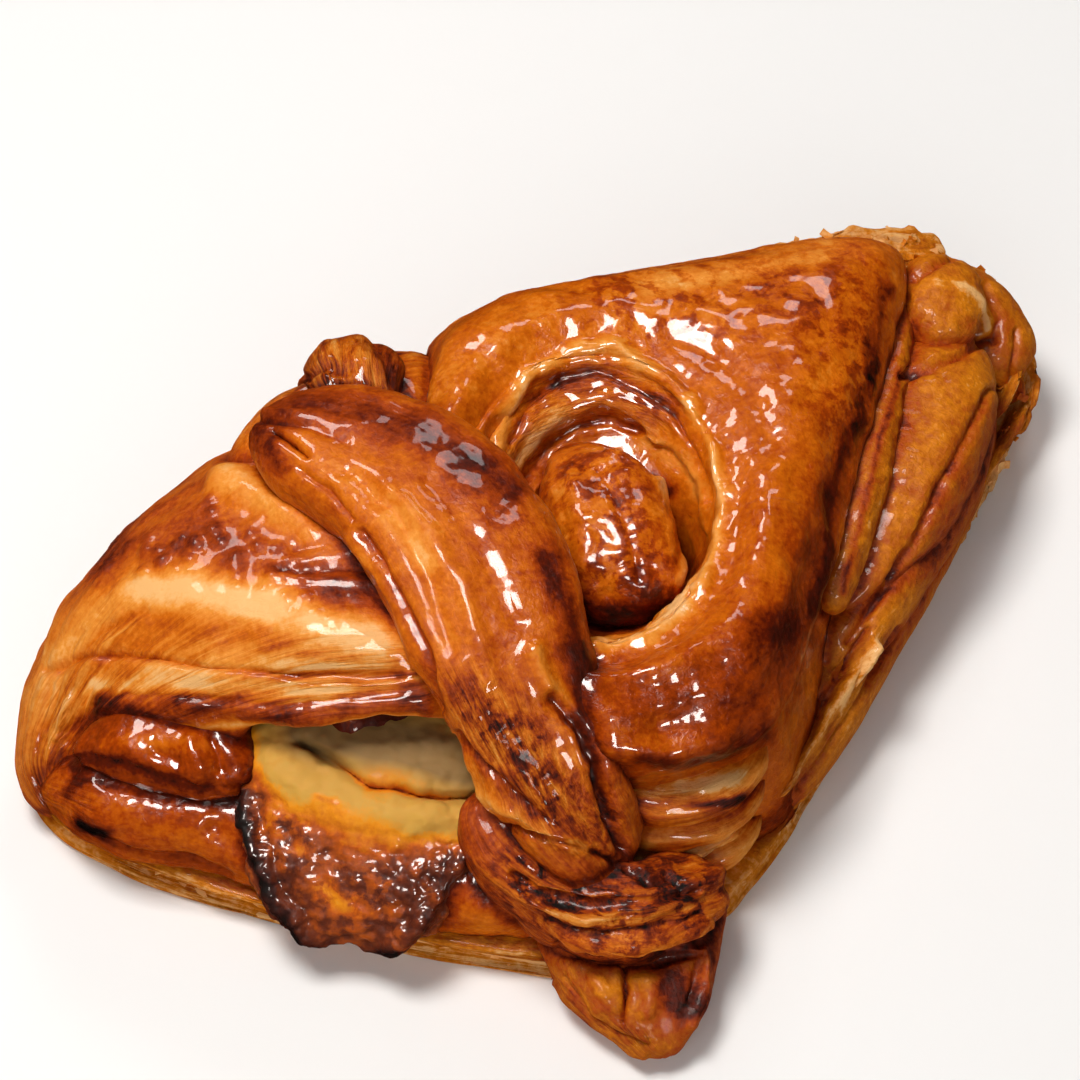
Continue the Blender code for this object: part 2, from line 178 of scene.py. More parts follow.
# Torn sheets of dough that stand out of the folds: stations as above, and a roll in degrees.
ROLL = 6  # where a station holds its roll
SHEETS = {
    "side_folds": [
        [(46, 44, 14, 3, 0.5, 0, 30), (52, 40.5, 11.5, 3.2, 0.5, 0, 40), (54.3, 34, 8, 2.6, 0.5, 0, 60)],
        [(50.5, 42, 8.5, 3, 0.5, 0, 40), (55.3, 37.5, 6, 3.2, 0.5, 0, 45), (54, 31, 4.6, 2.6, 0.5, 0, 50)],
        [(42, 45.6, 17.5, 2.4, 0.5, 0, 20), (49, 44.3, 15.5, 2.8, 0.5, 0, 30),
         (54.2, 39, 11.5, 2.8, 0.5, 0, 55), (52.5, 31, 9.5, 2.4, 0.5, 0, 60)],
        [(47, 44.5, 11, 2.8, 0.5, 0, 25), (54, 40.8, 8, 3, 0.5, 0, 40), (55.2, 34, 6.5, 2.6, 0.5, 0, 55),
         (49, 22, 6, 2.2, 0.5, 0, 60)],
    ],
    "right_cushion": [
        [(20, 37, 24, 3, 0.5, 0, 35), (30, 40.4, 24, 3.2, 0.5, 0, 30), (39, 43.4, 23.3, 3.2, 0.5, 0, 25),
         (46, 44.5, 20.8, 3, 0.5, 0, 15)],
        [(29, 40.5, 22.5, 3, 0.5, 0, 55), (38, 42.8, 22, 3.2, 0.5, 0, 50), (46, 43.6, 19.5, 3.2, 0.5, 0, 40)],
    ],
    "corner_layers": [
        [(8, -24, 10.4, 3, 0.4, 0, 0), (14, -25.8, 10.6, 3.4, 0.4, 0, 0), (20, -23, 11, 3, 0.4, 0, 0)],
        [(5.5, -20, 12, 0.6, 4.5, 0, 0), (6.5, -24, 9, 0.7, 5, 0, 0), (7.5, -28, 6, 0.6, 4, 0, 0)],
    ],
    "left_wing": [
        [(-44, -15.5, 10.5, 2.5, 0.4, 0, 10), (-32, -15, 11.8, 3, 0.45, 0, 10),
         (-18, -13, 12.2, 3, 0.45, 0, 10), (-8, -12, 12, 3, 0.4, 0, 10)],
    ],
}
# Sheets that stand out of the base's rim: the first and last point of the base's outline that one runs
# along, its height, how far inside the outline it lies, its half width, and its roll in degrees.
RIM_SHEETS = [
    (0, 4, 2.9, 3.1, 2.6, 0), (0, 4, 1.2, 2.9, 2.5, 0), (0, 4, 4.7, 4.0, 2.8, 10),
    (5, 9, 3.3, 3.3, 3.0, 10), (5, 9, 1.3, 3.0, 2.6, 0), (5, 8, 5.4, 5.6, 3.0, 20),
    (9, 15, 2.8, 2.3, 2.8, 0), (9, 15, 4.4, 3.2, 3.0, 8), (9, 15, 1.2, 2.1, 2.5, 0),
]
CUT_WALLS = [  # sheets in the cushion's hidden walls: height, share of the wall's reach, half width, roll
    (9.0, 0.99, 2.6, 4), (14.0, 0.985, 2.4, -4), (19.0, 0.98, 2.6, 8),
]

# ---------------------------------------------------------------------------------------------
# Strokes: (what it is, what it does, width, strength, points). Width and points are grid steps. "relief"
# raises the dough by its strength in millimetres, and "crease" and "ridge" also darken or lighten it; the
# darkening in a crease is painted shade in the groove as well as browning. Every other kind is a paint:
# "bake" is browning, "char" burning, "gloss" glaze, "layers" streaks of lamination, "mottled" uneven baking,
# "blistered" blisters, "bumpy" fine grit, "flaky" loose flakes, and "age" painted shade on the cheese that
# is sheltered deep in the mouth. Where a stroke's comment says so, its "bake" or "char" is painted shade or
# a painted highlight instead.

EFFECTS = {  # the strokes that do more than one thing
    # a crease's bake is painted shade in the groove as well as browning
    "crease": {"relief": -0.8, "bake": 0.16},
    "ridge": {"relief": 0.9, "bake": -0.10},
}

STROKES = {
    "left_wing": [
        ("brown top", "bake", 34, 0.20, [(115, 568), (165, 545), (215, 530), (260, 562), (330, 590)]),
        ("brown top", "mottled", 50, 0.25, [(120, 562), (215, 525), (310, 585)]),
        ("brown top", "blistered", 30, 1.0, [(110, 575), (165, 548), (215, 525), (260, 565), (330, 598)]),
        ("brown end", "bake", 22, 0.14, [(335, 592), (395, 604)]),
        ("back edge", "bake", 14, 0.12, [(60, 600), (95, 562), (150, 515), (215, 470)]),
        ("pale ridge", "ridge", 15, 1.2, [(222, 478), (262, 497), (300, 515), (345, 542)]),
        ("pale ridge", "bake", 18, -0.12, [(230, 485), (270, 503), (312, 522)]),
        ("small pleats", "crease", 3, 0.6, [(294, 547), (318, 541), (345, 548)]),
        ("small pleats", "ridge", 4, 0.5, [(290, 562), (320, 558), (352, 557)]),
        ("small pleats", "crease", 3, 0.7, [(281, 573), (310, 570), (345, 569), (388, 572)]),
        ("small pleats", "ridge", 4, 0.4, [(270, 583), (320, 581), (380, 586)]),
        ("golden band", "bake", 17, -0.44, [(145, 592), (200, 590), (260, 604)]),
        ("golden band", "bake", 20, -0.44, [(260, 606), (330, 630), (400, 645)]),
        ("golden band", "relief", 30, 0.7, [(80, 612), (160, 597), (260, 612), (400, 645)]),
        ("rust streaks", "layers", 24, 1.0, [(110, 632), (200, 632), (300, 652), (410, 664)]),
        ("rust band", "bake", 10, 0.10, [(130, 622), (220, 628), (330, 655), (410, 668)]),
        ("gold layers", "bake", 9, -0.22, [(150, 672), (230, 664), (320, 668), (410, 668)]),
        ("gold layers", "bake", 7, -0.24, [(98, 690), (160, 682), (260, 688), (350, 690)]),
        ("gold layers", "layers", 26, 1.2, [(98, 690), (160, 682), (260, 688), (410, 685)]),
        ("long crease", "crease", 4, 0.9, [
            (48, 672), (72, 657), (115, 655), (160, 660), (215, 668), (290, 676), (400, 676)]),
        ("long crease", "crease", 3, 0.35, [
            (60, 735), (90, 708), (130, 694), (200, 697), (280, 704), (400, 692)]),
        ("lip", "relief", 14, 0.9, [(105, 708), (180, 705), (245, 711), (320, 714), (420, 702)]),
        ("lip", "bake", 13, 0.30, [(105, 708), (180, 705), (245, 711), (320, 714), (420, 702)]),
        ("lip", "gloss", 12, 0.2, [(105, 712), (180, 707), (245, 714), (320, 717), (420, 704)]),
        # The bake of the undercut and of the lip's underside is painted shade under the lip.
        ("undercut", "relief", 13, -5.0, [(262, 744), (330, 744), (450, 738)]),
        ("undercut", "bake", 13, 0.3, [(262, 744), (330, 744), (450, 738)]),
        ("lip edge", "bake", 4, -0.35, [(110, 725), (170, 728), (250, 726), (330, 725), (415, 717)]),
        ("lip underside", "bake", 12, 0.28, [(110, 742), (200, 744), (300, 740), (420, 730)]),
        ("left curves", "crease", 3, 0.5, [(85, 630), (50, 680), (34, 750)]),
        ("left curves", "crease", 3, 0.5, [(110, 690), (66, 735), (52, 790)]),
        ("left curves", "ridge", 3, 0.4, [(95, 680), (52, 728), (42, 790)]),
        ("left end", "layers", 40, 1.2, [(60, 700), (40, 780)]),
        ("left gold", "bake", 14, -0.20, [(145, 594), (95, 618), (62, 655), (42, 710)]),
        ("left lines", "crease", 3, 0.6, [(150, 612), (100, 632), (62, 672), (44, 730)]),
        ("left lines", "ridge", 3, 0.6, [(150, 622), (108, 644), (74, 684), (56, 740)]),
        ("left lines", "crease", 3, 0.6, [(150, 640), (112, 660), (84, 700), (66, 745)]),
        ("strap's shade", "bake", 10, 0.22, [(350, 545), (370, 590), (398, 650), (410, 690)]),
    ],
    "lower_lip": [
        # This bake is painted shade under the inner fold.
        ("under the fold", "bake", 9, 0.28, [(60, 790), (95, 768), (150, 778), (210, 790), (245, 800)]),
        ("burnt spot", "char", 7, 0.30, [(82, 824), (104, 832)]),
        ("burnt spot", "bake", 12, 0.30, [(82, 824), (104, 832)]),
        ("lower edge", "crease", 4, 0.8, [(100, 838), (150, 852), (200, 862), (228, 876)]),
        ("dimple", "relief", 10, -0.7, [(215, 830), (235, 850)]),
        ("bulge", "relief", 28, 0.9, [(110, 808), (185, 812)]),
        ("left end", "layers", 20, 0.8, [(50, 800), (80, 800)]),
        ("beside the spill", "bake", 16, 0.05, [(450, 885), (500, 895)]),
        ("right end", "bake", 18, -0.10, [(480, 920), (530, 935)]),
    ],
    "inner_fold": [
        ("lower rim", "crease", 5, 0.4, [
            (55, 768), (85, 757), (120, 765), (165, 779), (205, 786), (240, 788)]),
        ("lower rim", "bake", 8, 0.2, [(55, 768), (85, 757), (120, 765), (165, 779), (205, 786)]),
        # The bright top is a painted highlight on the inner fold's glaze.
        ("bright top", "bake", 10, -0.12, [(125, 742), (165, 740), (200, 746)]),
        ("soft dents", "relief", 8, -0.6, [(150, 752), (178, 762)]),
        ("soft dents", "relief", 7, -0.6, [(212, 745), (222, 770)]),
        ("soft swell", "relief", 9, 0.5, [(190, 745), (200, 768)]),
    ],
    "strap": [
        ("tip crease", "crease", 3, 1.6, [(272, 431), (288, 442), (306, 456)]),
        ("tip hollow", "bake", 8, 0.24, [(268, 445), (276, 460), (284, 472)]),
        ("upper edge", "bake", 18, 0.24, [(250, 425), (320, 410), (400, 422), (460, 448), (510, 485)]),
        ("tip wrinkles", "crease", 3, 0.6, [(258, 420), (300, 428), (345, 440)]),
        ("tip wrinkles", "ridge", 3, 0.5, [(262, 412), (310, 416), (360, 424)]),
        ("tip wrinkles", "crease", 3, 0.5, [(300, 470), (330, 490), (352, 520)]),
        ("dark grain", "bake", 20, 0.08, [(462, 472), (490, 495), (520, 530), (540, 560)]),
        ("dark grain", "mottled", 30, 0.4, [(462, 472), (490, 495), (520, 530), (540, 560)]),
        ("right shade", "bake", 14, 0.30, [(545, 560), (565, 610), (580, 660), (590, 720)]),
        ("yellow patch", "bake", 9, -0.20, [(415, 545), (430, 562)]),
        ("orange field", "bake", 26, -0.08, [(390, 500), (430, 560), (460, 640)]),
        ("left rim", "ridge", 4, 0.5, [(350, 536), (370, 565), (392, 600), (412, 650), (424, 715)]),
        ("left groove", "crease", 4, 0.8, [(361, 533), (381, 562), (403, 598), (423, 648), (437, 712)]),
        # The milky glaze's lighter bake is a painted sheen on the glaze.
        ("milky glaze", "bake", 22, -0.12, [(300, 450), (360, 480), (420, 540)]),
        ("milky glaze", "gloss", 34, -0.45, [(395, 510), (430, 580), (455, 650)]),
        ("long dents", "relief", 9, -0.5, [(345, 470), (395, 510), (430, 580), (450, 650)]),
        ("long swells", "relief", 8, 0.5, [(385, 480), (430, 530), (465, 600), (490, 680)]),
        ("long dents", "relief", 7, -0.45, [(430, 480), (480, 540), (515, 620)]),
        ("lower part", "layers", 38, 1.7, [(480, 705), (530, 760), (590, 830)]),
        ("lower part", "mottled", 34, 1.3, [(480, 705), (530, 760), (590, 830)]),
        ("lower part", "bake", 24, 0.14, [(490, 715), (535, 770), (590, 835)]),
        ("lower part", "gloss", 26, -0.45, [(500, 725), (535, 770), (590, 835)]),
        ("pale facet", "bake", 7, -0.12, [(533, 652), (552, 680), (568, 705)]),
        ("facet", "ridge", 8, 1.0, [(530, 650), (555, 700), (590, 760)]),
        ("cleft", "crease", 6, 2.2, [(553, 700), (577, 728), (599, 765), (612, 810), (626, 850)]),
        ("left band", "ridge", 6, 1.0, [(444, 742), (470, 775), (500, 802), (535, 825), (588, 851)]),
        ("left band", "bake", 7, -0.18, [(444, 742), (470, 775), (500, 802), (535, 825), (588, 851)]),
        ("band's groove", "crease", 3, 1.2, [(456, 736), (482, 766), (512, 793), (548, 818)]),
        ("lowest edge", "crease", 3, 1.3, [(497, 824), (526, 833), (555, 838), (591, 852), (626, 866)]),
    ],
    "strap_tail": [
        ("streaks", "layers", 60, 1.6, [(330, 380), (370, 360)]),
        ("grooves", "crease", 3, 0.8, [(298, 378), (325, 368), (350, 374)]),
        ("grooves", "crease", 3, 0.8, [(292, 392), (325, 381), (356, 390)]),
        ("edge", "crease", 5, 0.8, [(370, 345), (388, 370), (404, 395), (416, 418)]),
        ("edge", "bake", 6, 0.2, [(380, 350), (396, 372), (412, 400)]),
        ("knob", "relief", 20, 1.0, [(330, 352), (352, 350), (368, 362)]),
        ("knob", "bake", 18, -0.03, [(325, 372), (350, 365)]),
    ],
    "right_cushion": [
        ("outer ring", "ridge", 7, 1.1, [
            (496, 458), (501, 413), (529, 376), (571, 352), (613, 348), (655, 368), (690, 402), (712, 440),
            (724, 490), (722, 545), (708, 580), (680, 615), (640, 640), (590, 650)]),
        ("ring groove", "crease", 4, 1.0, [
            (509, 442), (531, 403), (562, 378), (600, 370), (640, 384), (672, 412), (694, 450), (706, 500)]),
        ("red band", "bake", 8, 0.12, [(562, 384), (590, 378), (620, 382), (655, 402)]),
        ("second ring", "ridge", 6, 0.9, [
            (520, 470), (538, 432), (565, 408), (600, 400), (635, 412), (660, 436)]),
        ("cream layers", "bake", 11, -0.50, [(513, 466), (535, 437), (562, 417)]),
        ("gold ring", "bake", 8, -0.20, [
            (496, 458), (501, 413), (529, 376), (571, 352), (613, 348), (655, 368)]),
        ("gold ring", "bake", 5, -0.20, [
            (690, 402), (712, 440), (724, 490), (722, 545), (708, 580), (680, 615)]),
        ("dark groove", "bake", 6, 0.16, [(560, 382), (590, 372), (640, 384), (672, 412)]),
        ("cream layers", "layers", 26, 2.0, [(505, 470), (530, 430), (562, 400), (610, 385), (660, 400)]),
        ("third groove", "crease", 4, 0.8, [(528, 478), (548, 445), (575, 425), (610, 420), (640, 430)]),
        ("inner wall", "bake", 16, -0.18, [(645, 440), (685, 460), (700, 490)]),
        ("inner lip", "ridge", 4, 0.7, [(640, 432), (675, 445), (700, 480), (707, 530)]),
        # The hole's char and the gap's bake are painted shade in the swirl's pit and gap.
        ("hole", "char", 8, 0.5, [(655, 478), (668, 492)]),
        ("gap", "bake", 8, 0.08, [(690, 560), (680, 595), (655, 618), (600, 632)]),
        ("lower ledge", "bake", 6, -0.26, [(584, 652), (620, 649), (650, 641), (690, 610)]),
        ("dark field", "bake", 30, 0.08, [(775, 290), (840, 300), (862, 350)]),
        ("dark field", "mottled", 60, 1.0, [(640, 290), (840, 290), (850, 400)]),
        ("spotted top", "mottled", 40, 0.5, [(430, 400), (540, 320), (640, 300)]),
        ("right band", "bake", 26, 0.12, [(850, 430), (820, 530), (795, 620)]),
        ("dark foot", "bake", 26, 0.20, [(785, 635), (757, 698), (722, 740)]),
        ("darkest foot", "bake", 11, 0.30, [(765, 735), (730, 752), (690, 758), (640, 752)]),
        ("left field", "bake", 30, -0.08, [(430, 400), (480, 370), (540, 325)]),
        ("red front", "bake", 30, 0.18, [(640, 700), (700, 690), (750, 640)]),
        ("right edge", "bake", 8, 0.28, [
            (885, 290), (872, 349), (862, 405), (836, 475), (826, 542), (815, 612)]),
        ("front crest", "relief", 20, -0.9, [(625, 688), (680, 686), (725, 668)]),
        ("front slope", "relief", 20, 2.0, [(612, 738), (660, 744), (712, 736)]),
        ("dents", "relief", 14, -0.6, [(640, 320), (700, 340), (755, 390), (775, 450)]),
        ("rear rim", "bake", 8, -0.16, [(650, 284), (700, 276), (760, 264), (830, 250)]),
        ("rear rim", "gloss", 12, -0.7, [(650, 284), (760, 264), (830, 250), (900, 244)]),
    ],
    "swirl_bud": [
        ("leaf", "crease", 3, 1.0, [(556, 446), (590, 436), (625, 452), (655, 477)]),
        ("ochre left", "bake", 14, -0.10, [(560, 500), (565, 560)]),
        ("ochre right", "bake", 10, -0.10, [(650, 500), (672, 545)]),
        ("flecks", "mottled", 60, 1.7, [(600, 480), (620, 560)]),
        # The dark end is painted shade at the foot of the bud.
        ("dark end", "bake", 16, 0.34, [(585, 618), (620, 622), (655, 605)]),
        ("dark left", "bake", 10, 0.22, [(562, 580), (580, 610)]),
        ("torn edge", "bake", 5, -0.30, [(655, 478), (678, 505), (690, 545), (676, 580)]),
        ("torn edge", "ridge", 4, 0.6, [(655, 478), (678, 505), (690, 545), (676, 580)]),
        ("long groove", "crease", 4, 0.6, [(600, 470), (625, 520), (640, 580)]),
        ("long swell", "relief", 12, 0.6, [(575, 490), (590, 560)]),
        ("cross dents", "relief", 6, -0.3, [(560, 535), (590, 525), (615, 545)]),
        ("cross dents", "relief", 6, -0.3, [(600, 580), (635, 560), (660, 570)]),
    ],
    "corner_wrap": [
        ("streaks", "layers", 80, 1.2, [(540, 880), (620, 910), (700, 890)]),
        ("torn crust", "mottled", 60, 1.8, [(540, 880), (620, 910), (700, 890)]),
        ("upper band", "bake", 10, -0.14, [(505, 842), (545, 865), (590, 878)]),
        ("upper band", "gloss", 14, 0.5, [(505, 842), (545, 865)]),
        ("groove", "crease", 4, 1.3, [(512, 875), (535, 895), (590, 908), (650, 900), (700, 888)]),
        ("pale ridge", "ridge", 6, 1.0, [(526, 893), (553, 909), (588, 921), (612, 921)]),
        ("pale ridge", "bake", 6, -0.10, [(530, 895), (553, 910), (588, 921), (612, 921)]),
        ("lower groove", "crease", 4, 1.0, [(535, 912), (560, 928), (600, 936), (650, 932), (700, 915)]),
        ("lower ridge", "ridge", 5, 0.7, [(547, 924), (576, 942), (620, 948), (664, 943), (705, 925)]),
        ("knots", "crease", 4, 1.3, [(629, 866), (650, 880), (668, 872), (690, 886)]),
        ("knots", "bake", 10, 0.25, [(640, 872), (690, 884)]),
        ("underside", "crease", 4, 1.2, [(560, 948), (620, 957), (690, 950)]),
    ],
    "corner_tip": [
        ("middle crease", "crease", 3, 1.7, [(623, 960), (625, 990), (624, 1020)]),
        ("burnt spot", "bake", 15, 0.40, [(668, 985), (684, 1005)]),
        ("dark side", "bake", 9, 0.24, [(712, 905), (708, 960), (695, 1010)]),
        ("left layers", "crease", 3, 0.7, [(566, 975), (590, 1010), (620, 1035), (650, 1045)]),
        ("left layers", "layers", 16, 1.5, [(566, 975), (590, 1015), (640, 1042)]),
        ("right rim", "ridge", 5, 1.0, [(700, 950), (705, 985), (690, 1025)]),
        ("pale pads", "bake", 14, -0.14, [(600, 985), (645, 975)]),
        ("pads", "relief", 10, 0.7, [(596, 984), (604, 1004)]),
        ("pads", "relief", 10, 0.7, [(648, 980), (650, 1008)]),
        ("top line", "crease", 4, 0.8, [(560, 955), (600, 962), (650, 960), (695, 955)]),
        ("torn left", "flaky", 9, 1.0, [(562, 975), (590, 1015), (640, 1045)]),
        ("torn left", "ridge", 3, 0.6, [(556, 982), (582, 1020), (612, 1042), (645, 1055)]),
        ("wrinkles", "crease", 3, 0.25, [(585, 975), (602, 1000), (625, 1022)]),
        ("right folds", "crease", 3, 0.7, [(696, 918), (700, 955), (690, 1000)]),
        ("soft skin", "bumpy", 60, 0.8, [(600, 980), (660, 980)]),
    ],
    "corner_layers": [
        ("upper layer", "bake", 12, -0.45, [(640, 780), (690, 780), (735, 783)]),
        ("upper wrinkles", "mottled", 14, 1.0, [(640, 780), (690, 780), (735, 783)]),
        ("first gap", "bake", 5, 0.45, [(636, 801), (690, 803), (745, 799)]),
        ("burnt end", "char", 10, 0.12, [(738, 795), (752, 800)]),
        ("burnt end", "bake", 16, 0.36, [(715, 800), (748, 800)]),
        ("middle layer", "bake", 12, 0.26, [(640, 822), (700, 822), (740, 816)]),
        ("lower layer", "bake", 14, -0.12, [(640, 855), (700, 855)]),
        ("layers", "layers", 30, 1.0, [(640, 790), (740, 800)]),
    ],
    "side_folds": [
        ("patch edge", "crease", 4, 1.3, [(905, 375), (930, 370), (954, 355), (990, 341)]),
        ("narrow fold's edge", "bake", 4, 0.3, [(900, 372), (898, 386), (882, 434), (866, 501), (844, 590)]),
        ("pillow's edge", "crease", 4, 1.2, [
            (992, 388), (962, 445), (940, 492), (918, 540), (880, 598), (848, 640)]),
        ("flange ridge", "ridge", 4, 1.7, [
            (872, 645), (850, 680), (815, 737), (785, 785), (752, 822), (722, 858)]),
        ("flange ridge", "bake", 4, -0.08, [
            (885, 625), (850, 680), (815, 737), (785, 785), (752, 822), (722, 858)]),
        ("flange groove", "crease", 4, 1.5, [(868, 628), (832, 684), (798, 738), (768, 784), (738, 820)]),
        ("flange wrinkles", "crease", 3, 0.7, [(900, 628), (868, 684), (832, 742), (800, 790)]),
        ("flange wrinkles", "ridge", 3, 0.6, [(850, 650), (822, 690), (790, 735)]),
        ("flange", "layers", 30, 0.8, [(870, 660), (810, 750), (750, 830)]),
        ("lower shade", "bake", 20, 0.17, [(1000, 420), (965, 480), (925, 555)]),
        ("fan", "crease", 3, 0.8, [(1012, 420), (1025, 380), (1045, 350)]),
        ("fan", "crease", 3, 0.8, [(1010, 420), (1013, 370), (1018, 330)]),
        ("fan", "ridge", 3, 0.6, [(1016, 420), (1032, 392), (1050, 372)]),
        ("rear crumple", "crease", 4, 1.2, [(915, 278), (935, 263), (956, 254)]),
        ("rear crumple", "crease", 4, 1.0, [(985, 285), (1000, 320), (995, 345)]),
        ("rear crumple", "bake", 14, 0.12, [(1010, 310), (1000, 350)]),
        ("white line", "ridge", 3, 0.5, [(935, 283), (965, 286), (982, 300), (988, 330)]),
        ("white line", "bake", 3, -0.4, [(935, 283), (965, 286), (982, 300), (988, 330)]),
        ("fine bumps", "bumpy", 70, 1.0, [(940, 310), (930, 420), (880, 560)]),
        ("pale flange", "bake", 18, -0.05, [(850, 660), (830, 690), (780, 770), (740, 830)]),
    ],
    "base_sheet": [
        ("front rim", "layers", 30, 1.4, [(120, 880), (260, 910), (400, 950), (540, 965)]),
        ("flange", "bake", 30, -0.06, [(860, 690), (800, 780)]),
        ("flange wrinkles", "ridge", 4, 1.4, [(765, 800), (785, 765), (815, 722), (840, 690)]),
        ("flange wrinkles", "crease", 4, 1.5, [(778, 805), (798, 770), (828, 727), (850, 700)]),
        ("flange wrinkles", "ridge", 4, 0.8, [(800, 800), (825, 765), (850, 720), (880, 670)]),
        ("flange wrinkles", "crease", 3, 0.7, [(745, 845), (790, 815), (815, 790)]),
    ],
}
STROKES["back_fold"] = STROKES["strap_tail"]

CHEESE_STROKES = [
    ("crack", "crease", 5, 2.6, [(300, 742), (335, 762), (370, 786), (420, 797), (480, 797)]),
    ("mound", "relief", 18, 1.2, [(280, 775), (340, 812), (420, 822), (462, 820)]),
    ("rim roll", "relief", 7, 1.3, [
        (252, 788), (250, 825), (266, 868), (280, 905), (305, 930), (350, 946), (395, 940),
        (430, 905), (462, 858)]),
    # painted shade on the cheese deep in the mouth
    ("inner mass", "cheese_shade", 26, 1.5, [(310, 728), (400, 746), (490, 765)]),
    ("inner mass", "bake", 44, -0.9, [(290, 722), (400, 738), (500, 762)]),
    ("pale mound", "bake", 24, -0.66, [(290, 758), (325, 782), (370, 806), (430, 812), (480, 808)]),
    ("yellow edge", "bake", 18, -0.22, [(285, 790), (325, 826), (370, 844), (430, 838), (480, 828)]),
    ("mound's grain", "mottled", 30, 0.3, [(295, 760), (370, 800), (480, 806)]),
    ("burnt edge", "bake", 6, 0.42, [
        (249, 795), (249, 828), (263, 870), (279, 907), (305, 935), (350, 949), (395, 943)]),
    ("burnt right", "bake", 6, 0.12, [(410, 930), (440, 900), (468, 850)]),
    ("browned spots", "bake", 6, 0.30, [(322, 795), (335, 801)]),
    ("orange window", "bake", 11, -0.30, [(322, 890), (342, 902)]),
    ("orange window", "bake", 8, -0.15, [(300, 850), (330, 862)]),
    ("brown skin", "mottled", 40, 0.9, [(262, 825), (295, 870), (350, 900), (410, 895), (450, 862)]),
]

# ---------------------------------------------------------------------------------------------
# Shaping


def blend_keys(keys, t):
    """Values between keys that are evenly spaced over t = 0 to 1, on a smooth curve through them."""
    keys = np.asarray(keys, float)
    position = np.clip(t, 0, 1) * (len(keys) - 1)
    first = np.minimum(position.astype(int), len(keys) - 2)
    f = (position - first)[..., None]
    last = len(keys) - 1
    before, start = keys[np.maximum(first - 1, 0)], keys[first]
    end, after = keys[first + 1], keys[np.minimum(first + 2, last)]
    bend = 2 * before - 5 * start + 4 * end - after + f * (3 * (start - end) + after - before)
    return start + 0.5 * f * (end - before + f * bend)


def lattice(cell, seed):
    """A repeatable number from -1 to 1 for each cell of whole numbers."""
    x, y, z = cell[..., 0], cell[..., 1], cell[..., 2]
    mixed = (x * 73856093) ^ (y * 19349663) ^ (z * 83492791) ^ (seed * 6542989)
    mixed = (mixed ^ (mixed >> 13)) * 1274126177
    return ((mixed ^ (mixed >> 16)) & 0xFFFF) / 32767.5 - 1


def noise(points, size, seed=0):
    """Smooth noise from -1 to 1 whose lumps are about size across."""
    scaled = points / size + seed * 7.31
    cell = np.floor(scaled).astype(np.int64)
    f = scaled - cell
    f = f * f * (3 - 2 * f)
    total = 0
    for corner in np.ndindex(2, 2, 2):
        weight = np.prod(np.where(corner, f, 1 - f), axis=-1)
        total = total + weight * lattice(cell + corner, seed)
    return total


def rough_noise(points, size, octaves, seed=0):
    """Noise with finer and finer lumps added, half as high each time."""
    turned = points @ np.array([[0.8, 0.36, -0.48], [-0.6, 0.48, -0.64], [0.0, 0.8, 0.6]])
    return sum(noise(turned, size / 2**k, seed + k) / 2**k for k in range(octaves))


def domes(points, size, seed=0, share=1.0):
    """Domes about size across, in a share of all the places for them: 1 at their tops and 0 between."""
    scaled = points / size
    cell = np.floor(scaled).astype(np.int64)
    nearest = np.full(len(points), 9.0)
    for offset in np.ndindex(3, 3, 3):
        place = cell + np.array(offset) - 1
        aside = 0.4 * np.stack([lattice(place, seed + k) for k in (1, 2, 3)], -1)
        away = np.sum((place + 0.5 + aside - scaled) ** 2, -1)
        nearest = np.minimum(nearest, np.where(lattice(place, seed) < 2 * share - 1, away, 9.0))
    return np.clip(1 - 2 * nearest, 0, 1)


def round_power(value, power):
    return np.sign(value) * np.abs(value) ** (2 / power)


def fold_point(stations, s, a, blunt=9.0, power=2.5):
    """The skin of a fold: s runs along it from 0 to 1, and a is the angle round its section."""
    step = 1e-3
    values = blend_keys(stations, s)
    along = blend_keys(stations, np.minimum(s + step, 1)) - blend_keys(stations, np.maximum(s - step, 0))
    tangent = along[..., :3] / np.linalg.norm(along[..., :3], axis=-1, keepdims=True)
    left = np.stack([-tangent[..., 1], tangent[..., 0], np.zeros_like(s)], -1)
    left /= np.linalg.norm(left, axis=-1, keepdims=True)
    up = np.cross(tangent, left)
    if values.shape[-1] > ROLL:
        roll = np.radians(values[..., ROLL])[..., None]
        left, up = left * np.cos(roll) + up * np.sin(roll), up * np.cos(roll) - left * np.sin(roll)
    end = np.sqrt(np.clip(1 - np.abs(2 * s - 1) ** blunt, 0, 1))
    height = round_power(np.sin(a), power)
    across = values[..., 3] * end * round_power(np.cos(a), power) + values[..., 5] * end * height
    return values[..., :3] + left * across[..., None] + up * (values[..., 4] * end * height)[..., None]


def base_point(s, a):
    """The bottom sheet: from the middle of its underside (s = 0) round the rim to the middle of its top."""
    edge = blend_keys(BASE_OUTLINE + BASE_OUTLINE[:1], (a / (2 * math.pi)) % 1.0)
    profile = blend_keys([(0, 0), (0.5, 0), (0.975, 0), (1, 0.5), (0.975, 1), (0.5, 1), (0, 1)], s)
    middle = np.array(BASE_MIDDLE)
    xy = middle + (edge - middle) * profile[..., :1]
    return np.concatenate([xy, np.clip(profile[..., 1:], 0, 1) * BASE_THICKNESS], -1)


def cushion_reach(a, which):
    """How far the cushion reaches from the swirl's middle in direction a, at its top (1) or foot (2)."""
    total = np.zeros_like(a)
    for side in CUSHION_SIDES:
        total += (np.maximum(np.cos(a - math.radians(side[0])), 0) / side[which]) ** CUSHION_CORNER
    return total ** (-1 / CUSHION_CORNER)


